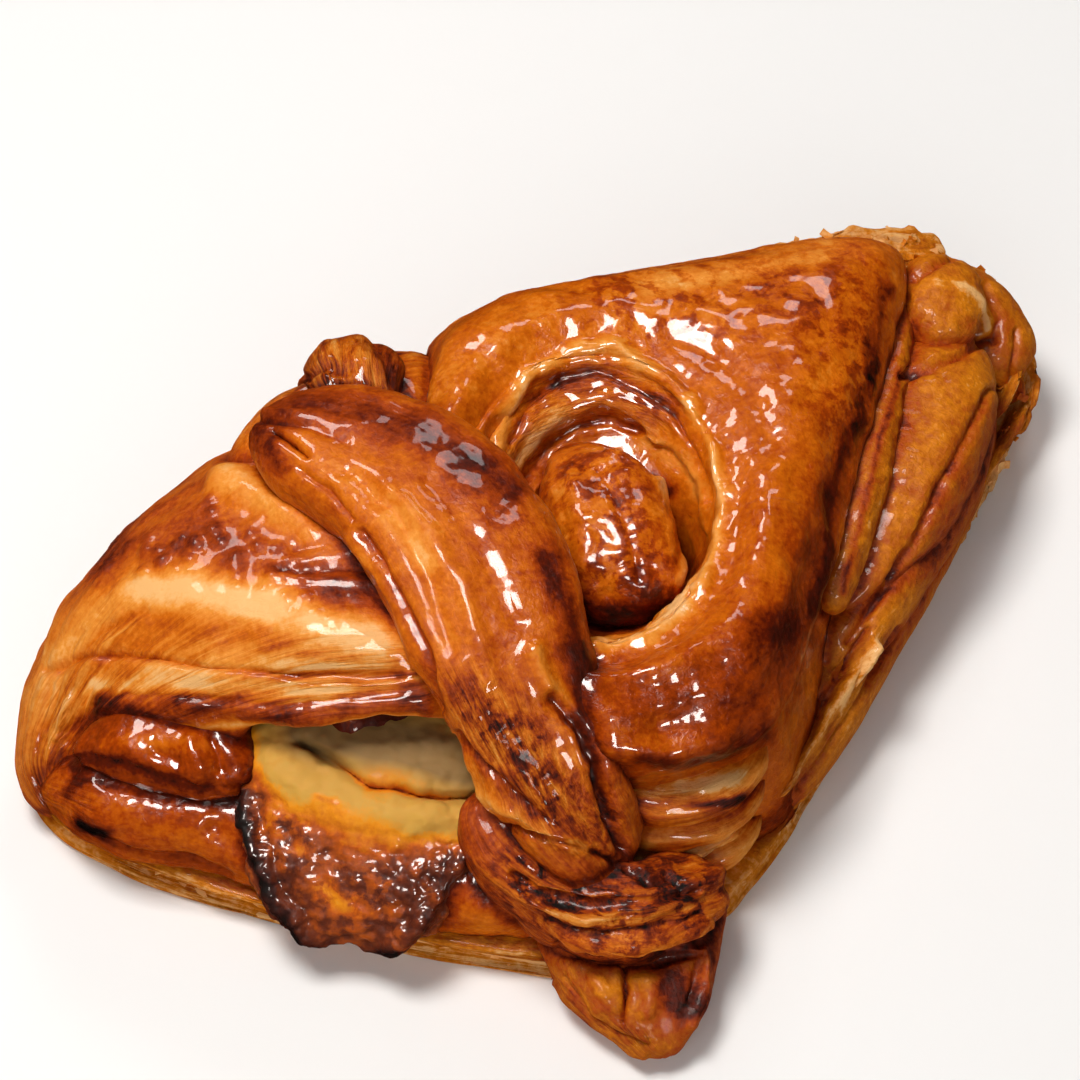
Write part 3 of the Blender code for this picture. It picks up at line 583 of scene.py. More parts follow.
def swirl_ridges(a, inward):
    """Height of the torn layers that climb round the swirl: steep on the inner side, sloping on the outer."""
    turn = (SWIRL_STEPS * inward - a / (2 * math.pi)) % 1.0
    step = np.where(turn < 0.75, turn / 0.75, (1 - turn) / 0.25) * 2 - 1
    fade = np.clip(inward * 6, 0, 1) * np.clip((1 - inward) * 6, 0, 1)
    facing_back = 0.35 + 0.65 * (0.5 + 0.5 * np.cos(a - SWIRL_RIDGES_AT))
    return 1.1 * fade * facing_back * step


def cushion_point(s, a):
    """The right cushion: up the wall, over the top, and down the swirl's ridges to its floor (s = 1)."""
    ring = 1 / np.hypot(np.cos(a) / SWIRL_RADII[0], np.sin(a) / SWIRL_RADII[1])
    top, foot = cushion_reach(a, 1), cushion_reach(a, 2)
    # Each key says how much of the foot's, the top edge's and the ring's reach it takes, and its height.
    wall = [
        (0, 0, 0, 3), (0.9, 0, 0, 3), (1.0, 0, 0, 5), (0.5, 0.5, 0, 13), (0, 0.98, 0, 20),
        (0, 1.0, 0, WALL_TOP), (0, 0.93, 0, WALL_TOP + 4.0), (0, 0.65, 0.35, CUSHION_HEIGHT - 1.5),
        (0, 0.3, 0.7, CUSHION_HEIGHT), (0, 0, 1.0, CUSHION_HEIGHT - 2.0),
    ]
    outside = blend_keys(wall, s / SWIRL_STARTS)
    inward = np.clip((s - SWIRL_STARTS) / (SWIRL_ENDS - SWIRL_STARTS), 0, 1)
    centre = np.clip((1 - s) / (1 - SWIRL_ENDS), 0, 1)
    in_swirl = s > SWIRL_STARTS
    reach = outside[..., 0] * foot + outside[..., 1] * top + outside[..., 2] * ring
    reach = np.where(in_swirl, ring * (1 - (1 - SWIRL_FLOOR_SHARE) * inward) * centre, reach)
    slope = inward * inward * (3 - 2 * inward)
    pit = np.exp(-((np.angle(np.exp(1j * (a - SWIRL_PIT_AT))) / SWIRL_PIT_WIDTH) ** 2))
    floor = SWIRL_FLOOR - SWIRL_PIT_DEPTH * pit
    sunk = CUSHION_HEIGHT - 2.0 + (floor - CUSHION_HEIGHT + 2.0) * slope + swirl_ridges(a, inward)
    sunk = SWIRL_FLOOR + (sunk - SWIRL_FLOOR) * np.clip(centre * 2, 0, 1)
    height = np.where(in_swirl, sunk, outside[..., 3])
    return np.stack([SWIRL_CENTRE[0] + reach * np.cos(a), SWIRL_CENTRE[1] + reach * np.sin(a), height], -1)


def on_grid(points):
    """Where points show on the marking grid, in its steps."""
    up = np.array([0.0, math.sin(GRID_ANGLE), math.cos(GRID_ANGLE)])
    offset = points - DISPLAY_POINT
    nearer = 1 - offset @ toward_viewer() / VIEW_DISTANCE
    middle = GRID_STEPS / 2
    across = offset[:, 0] / nearer / GRID_STEP
    return np.stack([middle + across, middle - offset @ up / nearer / GRID_STEP], -1)


def toward_viewer():
    return np.array([0.0, -math.cos(GRID_ANGLE), math.sin(GRID_ANGLE)])


def near_line(places, line, width):
    """1 on a line through the points of line, fading to 0 a little more than width away."""
    line = np.asarray(line, float)
    closest = np.sum((places - line[0]) ** 2, -1)
    for start, end in zip(line[:-1], line[1:]):
        run = end - start
        share = np.clip((places - start) @ run / (run @ run), 0, 1)
        closest = np.minimum(closest, np.sum((places - start - share[:, None] * run) ** 2, -1))
    return np.exp(-closest / width**2)


# ---------------------------------------------------------------------------------------------
# Meshes


PAINTS = ("bake", "gloss", "layers", "mottled", "cheese_shade", "flaky", "blistered", "char", "bumpy")
WELL_BAKED = 0.84  # the darkest that dough gets without being charred
GLAZE_RELIEF, GRIT_RELIEF, BLISTER_RELIEF = 0.18, 0.16, 0.45  # heights of the finest lumps
BACK_RELIEF = 0.55  # height of the layers that show at the back


class Skin:
    """A closed skin of rows and columns: its points, faces, and what is painted on it."""

    def __init__(self, point, rows, columns, grain):
        s = np.repeat(np.arange(1, rows) / rows, columns)
        a = np.tile(np.arange(columns) * 2 * math.pi / columns, rows - 1)
        s = np.concatenate([[0.0], s, [1.0]])
        a = np.concatenate([[0.0], a, [0.0]])
        self.a = a
        self.points = point(s, a)
        self.points[:, 2] = np.maximum(self.points[:, 2], 0.0)
        self.grain = grain(s, a, self.points)
        self.faces = grid_faces(rows, columns)
        self.paint = {name: np.zeros(len(s)) for name in PAINTS}

    def normals(self):
        """Directions out of the skin at each point."""
        p = self.points
        quads = np.array([face if len(face) == 4 else (*face, face[2]) for face in self.faces])
        across = np.cross(p[quads[:, 2]] - p[quads[:, 0]], p[quads[:, 3]] - p[quads[:, 1]])
        total = np.zeros_like(p)
        for corner in range(4):
            np.add.at(total, quads[:, corner], across)
        return total / np.maximum(np.linalg.norm(total, axis=1, keepdims=True), 1e-12)

    def apply(self, strokes, seed=0, wander=5.0):
        """Presses and paints the strokes, whose edges wander by a few grid steps."""
        normals = self.normals()
        shown = np.clip(normals @ toward_viewer() * 4 + 1, 0, 1)
        places = on_grid(self.points)
        astray = wander * np.stack([rough_noise(self.points, 4.0, 3, seed + k) for k in (11, 12)], -1)
        uneven = shown * (1 + 0.4 * noise(self.points, 5.0, seed + 13))
        relief = np.zeros(len(places))
        for _, what, width, strength, line in strokes:
            mask = near_line(places + astray * min(1.0, width / 8), line, width) * uneven * strength
            for target, share in EFFECTS.get(what, {what: 1.0}).items():
                if target == "relief":
                    relief += mask * share
                else:
                    self.paint[target] += mask * share
        self.raise_by(relief, normals)

    def darken_creases(self, others, reach=0.8, browning=0.22, depth=0.2):
        """Sinks the skin where it meets the other folds, and darkens it there with painted shade as well as
        browning.
        """
        far = 6 * reach
        gaps = np.array([others.find_nearest(point, far)[3] or far for point in self.points.tolist()])
        shade = np.exp(-((gaps / reach) ** 2))
        # The browning added here is painted shade where the folds meet, as well as browning.
        self.paint["bake"] += browning * shade + 0.3 * browning * np.exp(-gaps / (2.5 * reach))
        self.raise_by(-depth * shade)

    def raise_by(self, relief, normals=None):
        normals = self.normals() if normals is None else normals
        self.points = self.points + normals * relief[:, None]
        self.points[:, 2] = np.maximum(self.points[:, 2], 0.0)


def grid_faces(rows, columns):
    """Faces of a closed skin: a pole, rows - 1 rings of points, and a pole."""
    last = 1 + (rows - 1) * columns
    turn = np.arange(columns)
    after = (turn + 1) % columns
    faces = [(0, 1 + j, 1 + i) for i, j in zip(turn.tolist(), after.tolist())]
    for row in range(rows - 2):
        low, high = 1 + row * columns, 1 + (row + 1) * columns
        faces += np.stack([low + turn, low + after, high + after, high + turn], -1).tolist()
    low = 1 + (rows - 2) * columns
    faces += [(last, low + i, low + j) for i, j in zip(turn.tolist(), after.tolist())]
    return faces


# How grain is stretched: smaller is a longer grain.
USUAL_STRETCH, STREAK_STRETCH = 0.16, 0.07
GRAIN_STRETCHES = {"left_wing": 0.05, "lower_lip": 0.1}


def fold_grain(stations, stretch=USUAL_STRETCH):
    """Grain that runs along a fold: slow along it, and quick round and across it."""
    stations = np.asarray(stations, float)
    length = np.sum(np.linalg.norm(np.diff(stations[:, :3], axis=0), axis=1))
    girth = np.mean(stations[:, 3] + stations[:, 4]) / 2

    def grain(s, a, points):
        return np.stack([s * length * stretch, girth * np.cos(a), girth * np.sin(a)], -1)

    return grain


def ring_grain(s, a, points):
    """Grain that runs round the swirl, and along the walls."""
    x, y = points[:, 0] - SWIRL_CENTRE[0], points[:, 1] - SWIRL_CENTRE[1]
    reach = np.hypot(x / SWIRL_RADII[0], y / SWIRL_RADII[1]) * SWIRL_RADII[0] + np.degrees(a) / 60
    slow = 30 * STREAK_STRETCH
    return np.stack([slow * np.cos(a), slow * np.sin(a) + reach, points[:, 2]], -1)


def rim_grain(s, a, points):
    """Grain in level layers."""
    return np.stack([points[:, 0] * STREAK_STRETCH, points[:, 1] * STREAK_STRETCH, points[:, 2] * 2], -1)


def mesh_of(name, skins):
    """One mesh of several skins, with what is painted on them as attributes."""
    points, faces, start = [], [], 0
    for skin in skins:
        points.append((skin.points + ORIGIN_SHIFT) * MM)
        faces += [tuple(start + i for i in face) for face in skin.faces] if start else skin.faces
        start += len(skin.points)
    mesh = bpy.data.meshes.new(name)
    mesh.from_pydata(np.concatenate(points).tolist(), [], faces)
    for key in skins[0].paint:
        values = np.concatenate([skin.paint[key] for skin in skins]).astype(np.float32)
        mesh.attributes.new(key, "FLOAT", "POINT").data.foreach_set("value", values)
    grain = np.concatenate([skin.grain for skin in skins]).astype(np.float32)
    mesh.attributes.new("grain", "FLOAT_VECTOR", "POINT").data.foreach_set("vector", grain.ravel())
    mesh.validate()
    mesh.shade_smooth()
    return mesh


def add_piece(name, mesh, material, node):
    """Puts a finished mesh in the scene as a piece that stands for a CAD node."""
    piece = bpy.data.objects.new(name, mesh)
    bpy.context.scene.collection.objects.link(piece)
    mesh.materials.clear()
    mesh.materials.append(material)
    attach(piece, "root")
    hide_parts(node)
    return piece


def crust_piece(name, skins, material):
    """Makes one piece of crust from finished skins."""
    return add_piece(name, mesh_of(name, skins), material, CRUST_NODE)


def fold_skin(name, rows, columns):
    """The skin of a fold that is listed by name."""
    stations, shape = FOLDS[name], FOLD_SHAPES.get(name, {})
    grain = fold_grain(stations, GRAIN_STRETCHES.get(name, USUAL_STRETCH))
    return Skin(lambda s, a: fold_point(stations, s, a, **shape), rows, columns, grain)


SHEET_ROWS_PER_MM, SHEET_COLUMNS = 1.8, 28
SHEET_HALF_THICKNESS = 0.45


def rim_sheet(first, last, height, inset, width, roll):
    """A sheet's stations along the base's outline, from one of the outline's points to another."""
    stations = []
    for number in range(first, last + 1):
        edge = np.array(BASE_OUTLINE[number % len(BASE_OUTLINE)], float)
        inward = np.array(BASE_MIDDLE) - edge
        x, y = edge + inward / np.linalg.norm(inward) * inset
        stations.append((x, y, height, width, SHEET_HALF_THICKNESS, 0, roll))
    return stations


def wall_sheet(height, share, width, roll):
    """A sheet's stations round the back wall of the cushion."""
    turns = np.radians(np.arange(58, 176, 13.0))
    reach = share * (cushion_reach(turns, 1) + cushion_reach(turns, 2)) / 2 - width
    places = zip(SWIRL_CENTRE[0] + reach * np.cos(turns), SWIRL_CENTRE[1] + reach * np.sin(turns))
    return [(x, y, height, width, SHEET_HALF_THICKNESS, 0, roll) for x, y in places]


def torn_sheets(runs, seed, bake):
    """Torn sheets along lists of stations: thin, wavy, and ragged along their edges."""
    skins = []
    for number, stations in enumerate(runs):
        length = np.sum(np.linalg.norm(np.diff(np.array(stations)[:, :3], axis=0), axis=1))
        skin = Skin(
            lambda s, a: fold_point(stations, s, a, blunt=14, power=2.0),
            sized(length * SHEET_ROWS_PER_MM), sized(SHEET_COLUMNS), fold_grain(stations))
        edge = np.abs(np.cos(skin.a)) ** 8
        wave = 0.9 * noise(skin.points, 6.0, seed + number) + 0.35 * noise(skin.points, 1.7, seed + number)
        skin.points[:, 2] += wave * np.abs(np.cos(skin.a))
        torn = np.minimum(rough_noise(skin.points, 3.0, 3, seed + 20 + number), 0.25)
        skin.raise_by(1.3 * edge * torn + 0.05 * noise(skin.points, 0.9, seed))
        skin.paint["bake"] += bake + 0.25 * rough_noise(skin.points, 5.0, 2, seed + 40 + number)
        skin.paint["layers"] += 1.0
        skin.paint["flaky"] += 1.0
        skins.append(skin)
    return skins


COARSE_ROWS, COARSE_COLUMNS = 40, 56
COARSE = {}  # plain skins of every fold, which show a fold where the others are


def coarse_skins():
    """Plain, coarse skins of every fold of dough, by name."""
    skins = {
        "base_sheet": Skin(base_point, COARSE_ROWS, 2 * COARSE_COLUMNS, rim_grain),
        "right_cushion": Skin(cushion_point, 2 * COARSE_ROWS, 2 * COARSE_COLUMNS, ring_grain),
    }
    skins.update({name: fold_skin(name, COARSE_ROWS, COARSE_COLUMNS) for name in FOLDS})
    return skins


def tree_of_others(name):
    """A search tree of every fold but the one that is named."""
    points, faces, start = [], [], 0
    for other, skin in COARSE.items():
        if other != name:
            points += skin.points.tolist()
            faces += [[start + i for i in face] for face in skin.faces]
            start += len(skin.points)
    return BVHTree.FromPolygons(points, faces)


def dough_relief(skin, lumps, wrinkles, seed):
    """The uneven surface of baked dough: lumps, wrinkles along its grain, grit, glaze and blisters."""
    points, paint = skin.points, skin.paint
    relief = lumps * rough_noise(points, 8.0, 2, seed) + 0.35 * lumps * noise(points, 2.6, seed + 3)
    relief += wrinkles * rough_noise(skin.grain, 1.8, 2, seed + 5) * (0.35 + paint["layers"])
    relief += 0.10 * paint["mottled"] * rough_noise(points, 1.6, 2, seed + 7)
    grit = np.clip(paint["bumpy"], 0, 1) * rough_noise(points, 1.3, 2, seed + 9)
    relief += GRIT_RELIEF * grit
    paint["bake"] -= 0.07 * grit
    relief += GLAZE_RELIEF * np.clip(paint["gloss"], 0, 1.1) * rough_noise(points, 2.4, 3, seed + 10)
    blisters = domes(points, 1.7, seed + 12, share=0.4)
    relief += BLISTER_RELIEF * np.clip(paint["blistered"], 0, 1) * blisters
    paint["bake"] += 0.15 * np.clip(paint["blistered"], 0, 1) * blisters
    skin.raise_by(relief)


BACK_WALLS = ("right_cushion", "left_wing", "back_fold")
LEVEL_LAYERS = np.array([0.10, 0.10, 1.0])  # stretches noise into level layers


def layer_the_back(skin, seed):
    """Layers of dough that show as level, wavy ridges down the walls at the back."""
    normals = skin.normals()
    wall = np.clip(normals[:, 1] * 2.5, 0, 1) * np.clip(2 - 2.4 * np.abs(normals[:, 2]), 0, 1)
    ridges = rough_noise(skin.points * LEVEL_LAYERS, 1.7, 2, seed + 60)
    skin.raise_by(BACK_RELIEF * wall * ridges, normals)
    skin.paint["bake"] -= wall * (0.14 * ridges + 0.10 * rough_noise(skin.points, 9.0, 2, seed + 61))
    skin.paint["layers"] += 0.8 * wall
    skin.paint["gloss"] -= 0.5 * wall * skin.paint["gloss"]


def finish_dough(skin, name, bake, gloss, seed, lumps=0.3, wrinkles=0.12, layers=0.15, fold=None):
    """Base browning, strokes and relief for one fold. Its strokes go by name, and fold is its own name."""
    skin.paint["bake"] += bake
    skin.paint["gloss"] += gloss
    skin.paint["layers"] += layers
    if name in BACK_WALLS:
        layer_the_back(skin, seed)
    skin.apply(STROKES.get(name, []), seed)
    # painted shade and browning where this fold meets the others
    skin.darken_creases(tree_of_others(fold or name))
    dough_relief(skin, lumps, wrinkles, seed)
    skin.paint["bake"] = np.minimum(skin.paint["bake"], WELL_BAKED) + skin.paint["char"]
    return skin


# ---------------------------------------------------------------------------------------------
# Materials


def node_group(name, inputs, outputs):
    """A new shader group with named sockets. Inputs are (name, type, default)."""
    group = bpy.data.node_groups.new(name, "ShaderNodeTree")
    for socket, kind, default in inputs:
        made = group.interface.new_socket(socket, in_out="INPUT", socket_type=kind)
        if default is not None:
            made.default_value = default
    for socket, kind in outputs:
        group.interface.new_socket(socket, in_out="OUTPUT", socket_type=kind)
    return group, group.nodes.new("NodeGroupInput"), group.nodes.new("NodeGroupOutput")


def put(tree, kind, links=None, **settings):
    """A new node, with its settings, and its inputs set or linked from sockets."""
    node = tree.nodes.new(kind)
    for key, value in settings.items():
        setattr(node, key, value)
    for key, value in (links or {}).items():
        if isinstance(value, bpy.types.NodeSocket):
            tree.links.new(value, node.inputs[key])
        else:
            node.inputs[key].default_value = value
    return node


def maths(tree, operation, first, second=0.0, third=0.0, clamp=False):
    node = put(tree, "ShaderNodeMath", {0: first, 1: second, 2: third}, operation=operation, use_clamp=clamp)
    return node.outputs[0]


def texture(tree, vector, scale, detail=2.0, roughness=0.5, distortion=0.0):
    links = {
        "Vector": vector, "Scale": scale, "Detail": detail, "Roughness": roughness, "Distortion": distortion,
    }
    return put(tree, "ShaderNodeTexNoise", links).outputs["Fac"]


def browning_group():
    """Turns a level of baking into a crust's colour, through six colours from raw to burnt."""
    shades = ("Pale", "Gold", "Amber", "Brown", "Dark", "Burnt")
    inputs = [("Level", "NodeSocketFloat", 0.4)] + [(shade, "NodeSocketColor", None) for shade in shades]
    group, given, out = node_group("danish browning", inputs, [("Color", "NodeSocketColor")])
    color = given.outputs["Pale"]
    steps = [(0.02, 0.22), (0.20, 0.42), (0.40, 0.60), (0.58, 0.78), (0.76, 0.98)]
    for shade, (start, end) in zip(shades[1:], steps):
        links = {"Value": given.outputs["Level"], "From Min": start, "From Max": end}
        share = put(group, "ShaderNodeMapRange", links, interpolation_type="LINEAR").outputs[0]
        mix = put(group, "ShaderNodeMix", {"Factor": share}, data_type="RGBA")
        group.links.new(color, mix.inputs["A"])
        group.links.new(given.outputs[shade], mix.inputs["B"])
        color = mix.outputs["Result"]
    group.links.new(color, out.inputs["Color"])
    return group


def mottling_group():
    """Uneven baking: blotches, fine freckles, and streaks along the dough's layers."""
    inputs = [
        ("Position", "NodeSocketVector", None), ("Grain", "NodeSocketVector", None),
        ("Blotches", "NodeSocketFloat", 0.2), ("Freckles", "NodeSocketFloat", 0.1),
        ("Streaks", "NodeSocketFloat", 0.2), ("Mottled", "NodeSocketFloat", 0.0),
    ]
    outputs = [("Level", "NodeSocketFloat"), ("Streak", "NodeSocketFloat")]
    group, given, out = node_group("danish mottling", inputs, outputs)
    position, grain = given.outputs["Position"], given.outputs["Grain"]
    blotch = maths(group, "SUBTRACT", texture(group, position, 260.0, 3.0, 0.6, 0.8), 0.5)
    freckle = maths(group, "SUBTRACT", texture(group, position, 1500.0, 2.0, 0.6), 0.5)
    streak = maths(group, "SUBTRACT", texture(group, grain, 1.7, 5.0, 0.7, 0.3), 0.5)
    links = {
        "Value": texture(group, position, 430.0, 4.0, 0.66, 0.3),
        "From Min": 0.44, "From Max": 0.60, "To Min": -0.08, "To Max": 0.10,
    }
    spots = put(group, "ShaderNodeMapRange", links, interpolation_type="SMOOTHSTEP").outputs[0]
    level = maths(group, "MULTIPLY", blotch, given.outputs["Blotches"])
    level = maths(group, "MULTIPLY_ADD", spots, given.outputs["Mottled"], level)
    level = maths(group, "MULTIPLY_ADD", freckle, given.outputs["Freckles"], level)
    level = maths(group, "MULTIPLY_ADD", streak, given.outputs["Streaks"], level)
    group.links.new(level, out.inputs["Level"])
    group.links.new(streak, out.inputs["Streak"])
    return group


def glaze_group():
    """Height of a brushed egg glaze: soft lumps and fine wrinkles, in millimetres."""
    inputs = [
        ("Position", "NodeSocketVector", None),
        ("Lumps", "NodeSocketFloat", 0.1), ("Wrinkles", "NodeSocketFloat", 0.05),
    ]
    group, given, out = node_group("danish glaze", inputs, [("Height", "NodeSocketFloat")])
    position = given.outputs["Position"]
    lumps = maths(group, "MULTIPLY", texture(group, position, 420.0, 1.0, 0.5, 0.4), given.outputs["Lumps"])
    fine = texture(group, position, 1300.0, 2.0, 0.55, 0.6)
    height = maths(group, "MULTIPLY_ADD", fine, given.outputs["Wrinkles"], lumps)
    group.links.new(height, out.inputs["Height"])
    return group


def new_material(name):
    material = bpy.data.materials.new(name)
    material.use_nodes = True
    tree = material.node_tree
    return material, tree, tree.nodes["Principled BSDF"]


def attribute(tree, name, output="Fac"):
    return put(tree, "ShaderNodeAttribute", attribute_name=name, attribute_type="GEOMETRY").outputs[output]


def use_group(tree, group, links):
    return put(tree, "ShaderNodeGroup", links, node_tree=group)


def crust_material(name, looks, shades, lumps, wrinkles, blotches, freckles):
    """Baked dough: browned by its bake, streaked by its layers, glossy where it is glazed."""
    groups = shared_groups()
    material, tree, shader = new_material(name)
    position = put(tree, "ShaderNodeTexCoord").outputs["Object"]
    grain = attribute(tree, "grain", "Vector")
    layers, gloss = attribute(tree, "layers"), attribute(tree, "gloss")
    streaks = maths(tree, "MULTIPLY", layers, looks.streak_contrast)
    mottling = use_group(tree, groups["mottling"], {
        "Position": position, "Grain": grain, "Blotches": blotches, "Freckles": freckles, "Streaks": streaks,
        "Mottled": attribute(tree, "mottled"),
    })
    level = maths(tree, "ADD", attribute(tree, "bake"), mottling.outputs["Level"])
    browning = use_group(tree, groups["browning"], {"Level": level, **shades})
    glaze = use_group(tree, groups["glaze"], {"Position": position, "Lumps": lumps, "Wrinkles": wrinkles})
    streak_height = maths(tree, "MULTIPLY", maths(tree, "MULTIPLY", mottling.outputs["Streak"], layers), 0.35)
    height = maths(tree, "ADD", glaze.outputs["Height"], streak_height)
    bump = put(tree, "ShaderNodeBump", {"Height": height, "Distance": MM, "Strength": 1.0})
    links = {"Value": gloss, "From Min": 0.0, "From Max": 1.0, "To Min": 0.60, "To Max": 0.26}
    rough = put(tree, "ShaderNodeMapRange", links).outputs[0]
    tree.links.new(browning.outputs["Color"], shader.inputs["Base Color"])
    tree.links.new(rough, shader.inputs["Roughness"])
    tree.links.new(bump.outputs["Normal"], shader.inputs["Normal"])
    tree.links.new(maths(tree, "MULTIPLY", gloss, looks.glaze, clamp=True), shader.inputs["Coat Weight"])
    shader.inputs["Coat Roughness"].default_value = looks.glaze_roughness
    shader.inputs["Specular IOR Level"].default_value = 0.06
    return material


def cheese_material(looks):
    """Soft baked cheese: pale where it is thick and sheltered, then yellow, orange, brown and black; deep in
    the mouth its colour is painted shade.
    """
    groups = shared_groups()
    material, tree, shader = new_material("baked cheese")
    position = put(tree, "ShaderNodeTexCoord").outputs["Object"]
    grain = attribute(tree, "grain", "Vector")
    mottling = use_group(tree, groups["mottling"], {
        "Position": position, "Grain": grain, "Blotches": 0.3, "Freckles": 0.2, "Streaks": 0.05,
        "Mottled": attribute(tree, "mottled"),
    })
    baked = maths(tree, "ADD", attribute(tree, "bake"), mottling.outputs["Level"])
    shades = {
        "Pale": looks.cheese, "Gold": looks.cheese_yellow, "Amber": looks.cheese_orange,
        "Brown": looks.cheese_brown, "Dark": looks.cheese_dark, "Burnt": looks.burnt,
    }
    browning = use_group(tree, groups["browning"], {"Level": baked, **shades})
    # This mask mixes in a painted shade colour for the cheese deep in the mouth.
    share = maths(tree, "MULTIPLY", attribute(tree, "cheese_shade"), 1.0, clamp=True)
    sheltered = put(tree, "ShaderNodeMix", {"Factor": share}, data_type="RGBA")
    tree.links.new(browning.outputs["Color"], sheltered.inputs["A"])
    sheltered.inputs["B"].default_value = looks.cheese_in_shade
    wrinkles = maths(tree, "MULTIPLY_ADD", attribute(tree, "gloss"), 0.12, 0.03)
    glaze = use_group(tree, groups["glaze"], {"Position": position, "Lumps": 0.1, "Wrinkles": wrinkles})
    bump = put(tree, "ShaderNodeBump", {"Height": glaze.outputs["Height"], "Distance": MM, "Strength": 1.0})
    tree.links.new(sheltered.outputs["Result"], shader.inputs["Base Color"])
    tree.links.new(bump.outputs["Normal"], shader.inputs["Normal"])
    gloss = attribute(tree, "gloss")
    links = {"Value": gloss, "From Min": 0.0, "From Max": 1.0, "To Min": 0.7, "To Max": 0.4}
    tree.links.new(put(tree, "ShaderNodeMapRange", links).outputs[0], shader.inputs["Roughness"])
    coat = maths(tree, "MULTIPLY", gloss, looks.glaze, clamp=True)
    tree.links.new(coat, shader.inputs["Coat Weight"])
    shader.inputs["Coat Roughness"].default_value = looks.glaze_roughness
    shader.inputs["Specular IOR Level"].default_value = 0.08
    shader.inputs["Subsurface Weight"].default_value = 0.1
    shader.inputs["Subsurface Scale"].default_value = 0.002
    return material


def flakes_group():
    """Geometry nodes that strew small curled flakes over a surface, as thickly as it is painted flaky."""
    group = bpy.data.node_groups.new("danish flakes", "GeometryNodeTree")
    group.interface.new_socket("Surface", in_out="INPUT", socket_type="NodeSocketGeometry")
    inputs = [
        ("Density", "NodeSocketFloat"), ("Smallest", "NodeSocketFloat"), ("Largest", "NodeSocketFloat"),
        ("Curl", "NodeSocketFloat"), ("Seed", "NodeSocketInt"), ("Material", "NodeSocketMaterial"),
    ]
    for socket, kind in inputs:
        group.interface.new_socket(socket, in_out="INPUT", socket_type=kind)
    group.interface.new_socket("Flakes", in_out="OUTPUT", socket_type="NodeSocketGeometry")
    given, out = group.nodes.new("NodeGroupInput").outputs, group.nodes.new("NodeGroupOutput")
    flaky = put(group, "GeometryNodeInputNamedAttribute", {"Name": "flaky"}, data_type="FLOAT").outputs[0]
    density = maths(group, "MULTIPLY", flaky, given["Density"])
    links = {"Mesh": given["Surface"], "Density": density, "Seed": given["Seed"]}
    spots = put(group, "GeometryNodeDistributePointsOnFaces", links)
    links = {"Size": (1.0, 0.6, 0.1), "Vertices X": 4, "Vertices Y": 3, "Vertices Z": 2}
    plate = put(group, "GeometryNodeMeshCube", links)
    place = put(group, "GeometryNodeInputPosition").outputs[0]
    along = put(group, "ShaderNodeSeparateXYZ", {"Vector": place}).outputs["X"]
    bend = maths(group, "MULTIPLY", maths(group, "MULTIPLY", along, along), given["Curl"])
    lift = put(group, "ShaderNodeCombineXYZ", {"Z": bend}).outputs[0]
    flake = put(group, "GeometryNodeSetPosition", {"Geometry": plate.outputs["Mesh"], "Offset": lift})
    links = {0: (-0.4, -0.4, 0.0), 1: (0.4, 0.4, 2 * math.pi), "Seed": given["Seed"]}
    turn = put(group, "FunctionNodeRandomValue", links, data_type="FLOAT_VECTOR").outputs[0]
    links = {"Rotation": spots.outputs["Rotation"], "Rotate By": turn}
    turned = put(group, "FunctionNodeRotateRotation", links, rotation_space="LOCAL").outputs[0]
    links = {2: given["Smallest"], 3: given["Largest"], "Seed": given["Seed"]}
    size = put(group, "FunctionNodeRandomValue", links, data_type="FLOAT").outputs[1]
    links = {
        "Points": spots.outputs["Points"], "Instance": flake.outputs[0], "Rotation": turned, "Scale": size,
    }
    strewn = put(group, "GeometryNodeInstanceOnPoints", links).outputs[0]
    real = put(group, "GeometryNodeRealizeInstances", {"Geometry": strewn}).outputs[0]
    done = put(group, "GeometryNodeSetMaterial", {"Geometry": real, "Material": given["Material"]})
    group.links.new(done.outputs[0], out.inputs[0])
    return group


def strew_flakes(name, surface, seed):
    """Makes a piece of the flakes that lie on another piece of crust."""
    sizes = bpy.context.scene.danish_sizes
    holder = bpy.data.objects.new(name, surface.data)
    bpy.context.scene.collection.objects.link(holder)
    modifier = holder.modifiers.new("flakes", "NODES")
    modifier.node_group = bpy.data.node_groups.get("danish flakes") or flakes_group()
    values = {
        "Density": sizes.flake_density, "Smallest": sizes.flake_size / 3, "Largest": sizes.flake_size,
        "Curl": 0.5, "Seed": seed, "Material": plain_crust(),
    }
    for item in modifier.node_group.interface.items_tree:
        if item.name in values:
            modifier[item.identifier] = values[item.name]
    mesh = bpy.data.meshes.new_from_object(holder.evaluated_get(bpy.context.evaluated_depsgraph_get()))
    holder.modifiers.remove(modifier)
    bpy.data.objects.remove(holder)
    for vertex in mesh.vertices:
        vertex.co.z = max(vertex.co.z, 0.0)
    return add_piece(name, mesh, plain_crust(), CRUST_NODE)


def shared_groups():
    """The node groups that every material uses, made once."""
    makers = {"browning": browning_group, "mottling": mottling_group, "glaze": glaze_group}
    return {key: bpy.data.node_groups.get(f"danish {key}") or maker() for key, maker in makers.items()}


def crust_shades(looks):
    return {
        "Pale": looks.pale, "Gold": looks.gold, "Amber": looks.amber,
        "Brown": looks.brown, "Dark": looks.dark, "Burnt": looks.burnt,
    }


def glazed_crust():
    looks = bpy.context.scene.danish_looks
    found = bpy.data.materials.get("glazed crust")
    return found or crust_material("glazed crust", looks, crust_shades(looks), 0.2, 0.12, 0.38, 0.3)


def plain_crust():
    looks = bpy.context.scene.danish_looks
    shades = {**crust_shades(looks), "Gold": looks.ochre, "Amber": looks.deep_ochre}
    found = bpy.data.materials.get("plain crust")
    return found or crust_material("plain crust", looks, shades, 0.12, 0.20, 0.6, 0.4)


# ---------------------------------------------------------------------------------------------
# What a user can change


